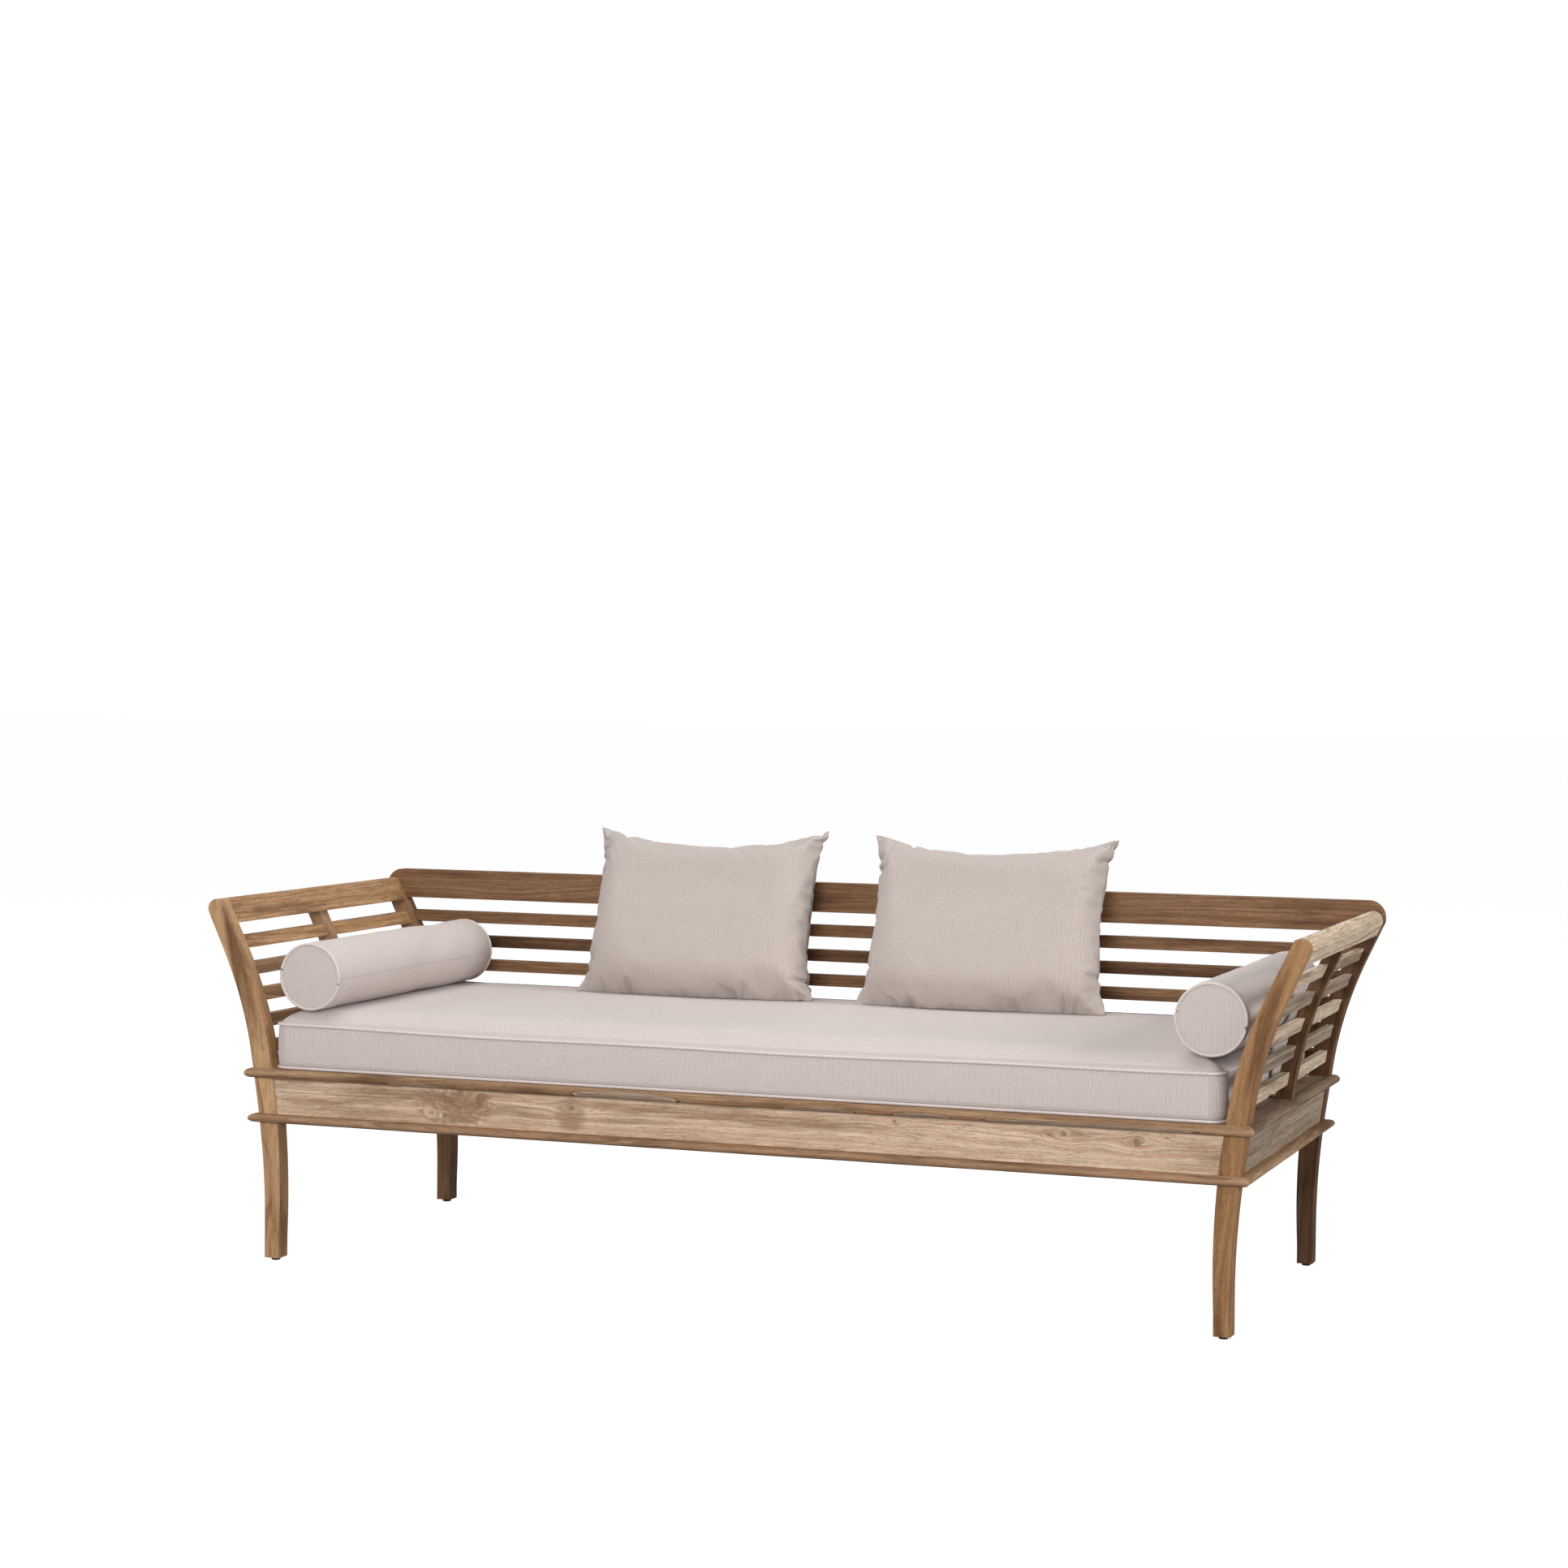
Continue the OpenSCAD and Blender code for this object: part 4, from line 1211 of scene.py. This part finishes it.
def box_points(low, high):
    """Corners and faces of a box."""
    points = [(x, y, z) for z in (low[2], high[2]) for y in (low[1], high[1]) for x in (low[0], high[0])]
    faces = [(0, 2, 3, 1), (4, 5, 7, 6), (0, 1, 5, 4), (2, 6, 7, 3), (0, 4, 6, 2), (1, 3, 7, 5)]
    return points, faces


def many_boxes(name, boxes):
    points, faces = [], []
    for low, high in boxes:
        more, around = box_points(low, high)
        faces += [tuple(i + len(points) for i in face) for face in around]
        points += more
    return new_piece(name, points, faces)


def zip_fastener():
    """Woven tape with two rows of interlocking teeth."""
    low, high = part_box("mattress_zip")
    middle = (low.z + high.z) / 2
    back = MATTRESS_HIGH.y
    tape, tree, shader = principled("zip_tape", 0.85, Sheen_Weight=0.15, IOR=1.45)
    place = tree.node("ShaderNodeTexCoord").outputs["Object"]
    weave = tree.noise(tree.stretch(place, (1800, 1, 500)), detail=2)
    tree.feed(shader.inputs["Base Color"], tree.mix(weave, (0.36, 0.30, 0.26), (0.56, 0.49, 0.44)))
    bump(tree, shader, weave, 0.0002, 0.6)
    boxes = [((low.x, back - 0.8 * MM, low.z), (high.x, back + 0.35 * MM, high.z))]
    for edge in (-1, 1):
        inner, outer = sorted((middle + edge * 8.6 * MM, middle + edge * 9.4 * MM))
        boxes.append(((low.x, back + 0.3 * MM, inner), (high.x, back + 0.65 * MM, outer)))
    pitch = 2.4 * MM
    for n in range(int((high.x - low.x) / pitch)):
        x = low.x + (n + 0.5) * pitch
        for edge in (-1, 1):
            shift = 0.6 * MM * edge
            span = sorted((middle - edge * 0.9 * MM, middle + edge * 2.3 * MM))
            boxes.append((
                (x + shift - 0.5 * MM, back + 0.3 * MM, span[0]),
                (x + shift + 0.5 * MM, back + 1.2 * MM, span[1]),
            ))
    dressed(many_boxes("zip_tape_and_teeth", boxes), tape, "mattress", "zip_tape", "mattress_zip")


def screws():
    """The screws with a cross recess in each head."""
    bm = solid_of("wood_screws")
    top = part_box("wood_screws")[1].z
    tops = sorted({(round(v.co.x, 3), round(v.co.y, 3)) for v in bm.verts if v.co.z > top - 1e-5})
    piece = piece_of(bm, "screws")
    bm.free()
    heads = []
    for x, y in tops:
        home = next((h for h in heads if math.hypot(h[0][0] - x, h[0][1] - y) < 12 * MM), None)
        if home:
            home.append((x, y))
        else:
            heads.append([(x, y)])
    cuts = []
    for head in heads:
        x, y = np.mean(head, axis=0)
        arm, slim = 2.3 * MM, 0.45 * MM
        for a, b in ((arm, slim), (slim, arm)):
            cuts.append(((x - a, y - b, top - 1.4 * MM), (x + a, y + b, top + 1 * MM)))
    cutter = many_boxes("cutter", cuts)
    boolean = piece.modifiers.new("recess", "BOOLEAN")
    boolean.operation = "DIFFERENCE"
    boolean.object = cutter
    boolean.use_self = True
    applied(piece)
    bpy.data.objects.remove(cutter)
    crisp(piece, 35)
    dressed(piece, metal("zinc", (0.62, 0.62, 0.60), 0.42), "frame", "screw_steel", "wood_screws")


# ---------------------------------------------------------------- studio

def studio():
    """Pale floor, even white surroundings and soft lights."""
    material, tree, shader = principled("floor", 0.9)
    shader.inputs["Base Color"].default_value = (0.40, 0.40, 0.40, 1)
    pale = tree.node("ShaderNodeBsdfDiffuse", Color=(0.30, 0.30, 0.30, 1))
    glow = tree.node("ShaderNodeEmission", Color=(1, 1, 1, 1), Strength=0.92)
    seen = tree.node("ShaderNodeAddShader")
    tree.feed(seen.inputs[0], pale.outputs[0])
    tree.feed(seen.inputs[1], glow.outputs[0])
    pick = tree.node("ShaderNodeMixShader")
    tree.feed(pick.inputs[0], tree.node("ShaderNodeLightPath").outputs["Is Camera Ray"])
    tree.feed(pick.inputs[1], shader.outputs[0])
    tree.feed(pick.inputs[2], seen.outputs[0])
    tree.feed(material.node_tree.nodes["Material Output"].inputs[0], pick.outputs[0])
    far = 60.0
    corners = [(-far, -far, 0), (far, -far, 0), (far, far, 0), (-far, far, 0)]
    floor = new_piece("floor", corners, [(0, 1, 2, 3)])
    floor.data.materials.append(material)

    world = bpy.data.worlds.new("studio")
    scene.world = world
    world.use_nodes = True
    tree = Tree(world.node_tree)
    back = world.node_tree.nodes["Background"]
    back.inputs[0].default_value = (1, 1, 1, 1)
    seen = tree.node("ShaderNodeLightPath").outputs["Is Camera Ray"]
    tree.feed(back.inputs[1], tree.times_plus(seen, 0.83, 0.22))

    aim = Vector((0, 0, 0.5))
    for name, place, size, power in (
        ("key", (0.6, -4.9, 1.9), 2.4, 150),
        ("side", (5.4, -0.6, 2.6), 2.0, 168),
        ("fill", (-4.2, -3.0, 2.0), 3.0, 40),
        ("top", (-0.3, -0.2, 4.2), 3.0, 74),
        ("rear", (-1.5, 5.2, 2.6), 3.0, 70),
    ):
        light = bpy.data.lights.new(name, "AREA")
        light.shape = "DISK"
        light.size = size
        light.energy = power
        lamp = bpy.data.objects.new(name, light)
        lamp.location = place
        lamp.rotation_euler = (aim - lamp.location).to_track_quat("-Z", "Y").to_euler()
        scene.collection.objects.link(lamp)
    scene.view_settings.view_transform = "Standard"


def camera():
    """The camera stands a little to the right, at the height of a person's chest."""
    azimuth, elevation, roll = math.radians(20.58), math.radians(2.0), math.radians(0.48)
    level = math.cos(elevation)
    back = Vector((math.sin(azimuth) * level, -math.cos(azimuth) * level, math.sin(elevation)))
    right = Vector((math.cos(azimuth), math.sin(azimuth), 0))
    up = back.cross(right)
    turned = right * math.cos(roll) + up * math.sin(roll)
    upright = up * math.cos(roll) - right * math.sin(roll)
    data = bpy.data.cameras.new("camera")
    data.sensor_width = 36
    data.lens = 71.577
    made = bpy.data.objects.new("camera", data)
    place = Matrix.Translation((2.2116, -5.9621, 1.2036))
    made.matrix_world = place @ Matrix((turned, upright, back)).transposed().to_4x4()
    scene.collection.objects.link(made)
    scene.camera = made


camera()
studio()
for name, look in BOARDS.items():
    board(name, **look)
mattress()
pillow("left", seed=3.0, tilt=math.radians(-0.3))
pillow("right", seed=11.0, tilt=math.radians(-0.3))
bolster("left", seed=2.0, spin=-1.2)
bolster("right", seed=7.0, spin=2.2)
zip_fastener()
nickel = metal("nickel", (0.70, 0.69, 0.66), 0.35)
softened("zip_slider", "zip_pull", "zip_pull", nickel, 0.5 * MM, "screw_steel")
dark_plastic = plastic("glide_plastic", (0.045, 0.035, 0.028))
softened("glides", "foot_glides", "frame", dark_plastic, 0.6 * MM, "glide")
screws()

bpy.data.scenes.remove(BENCH)
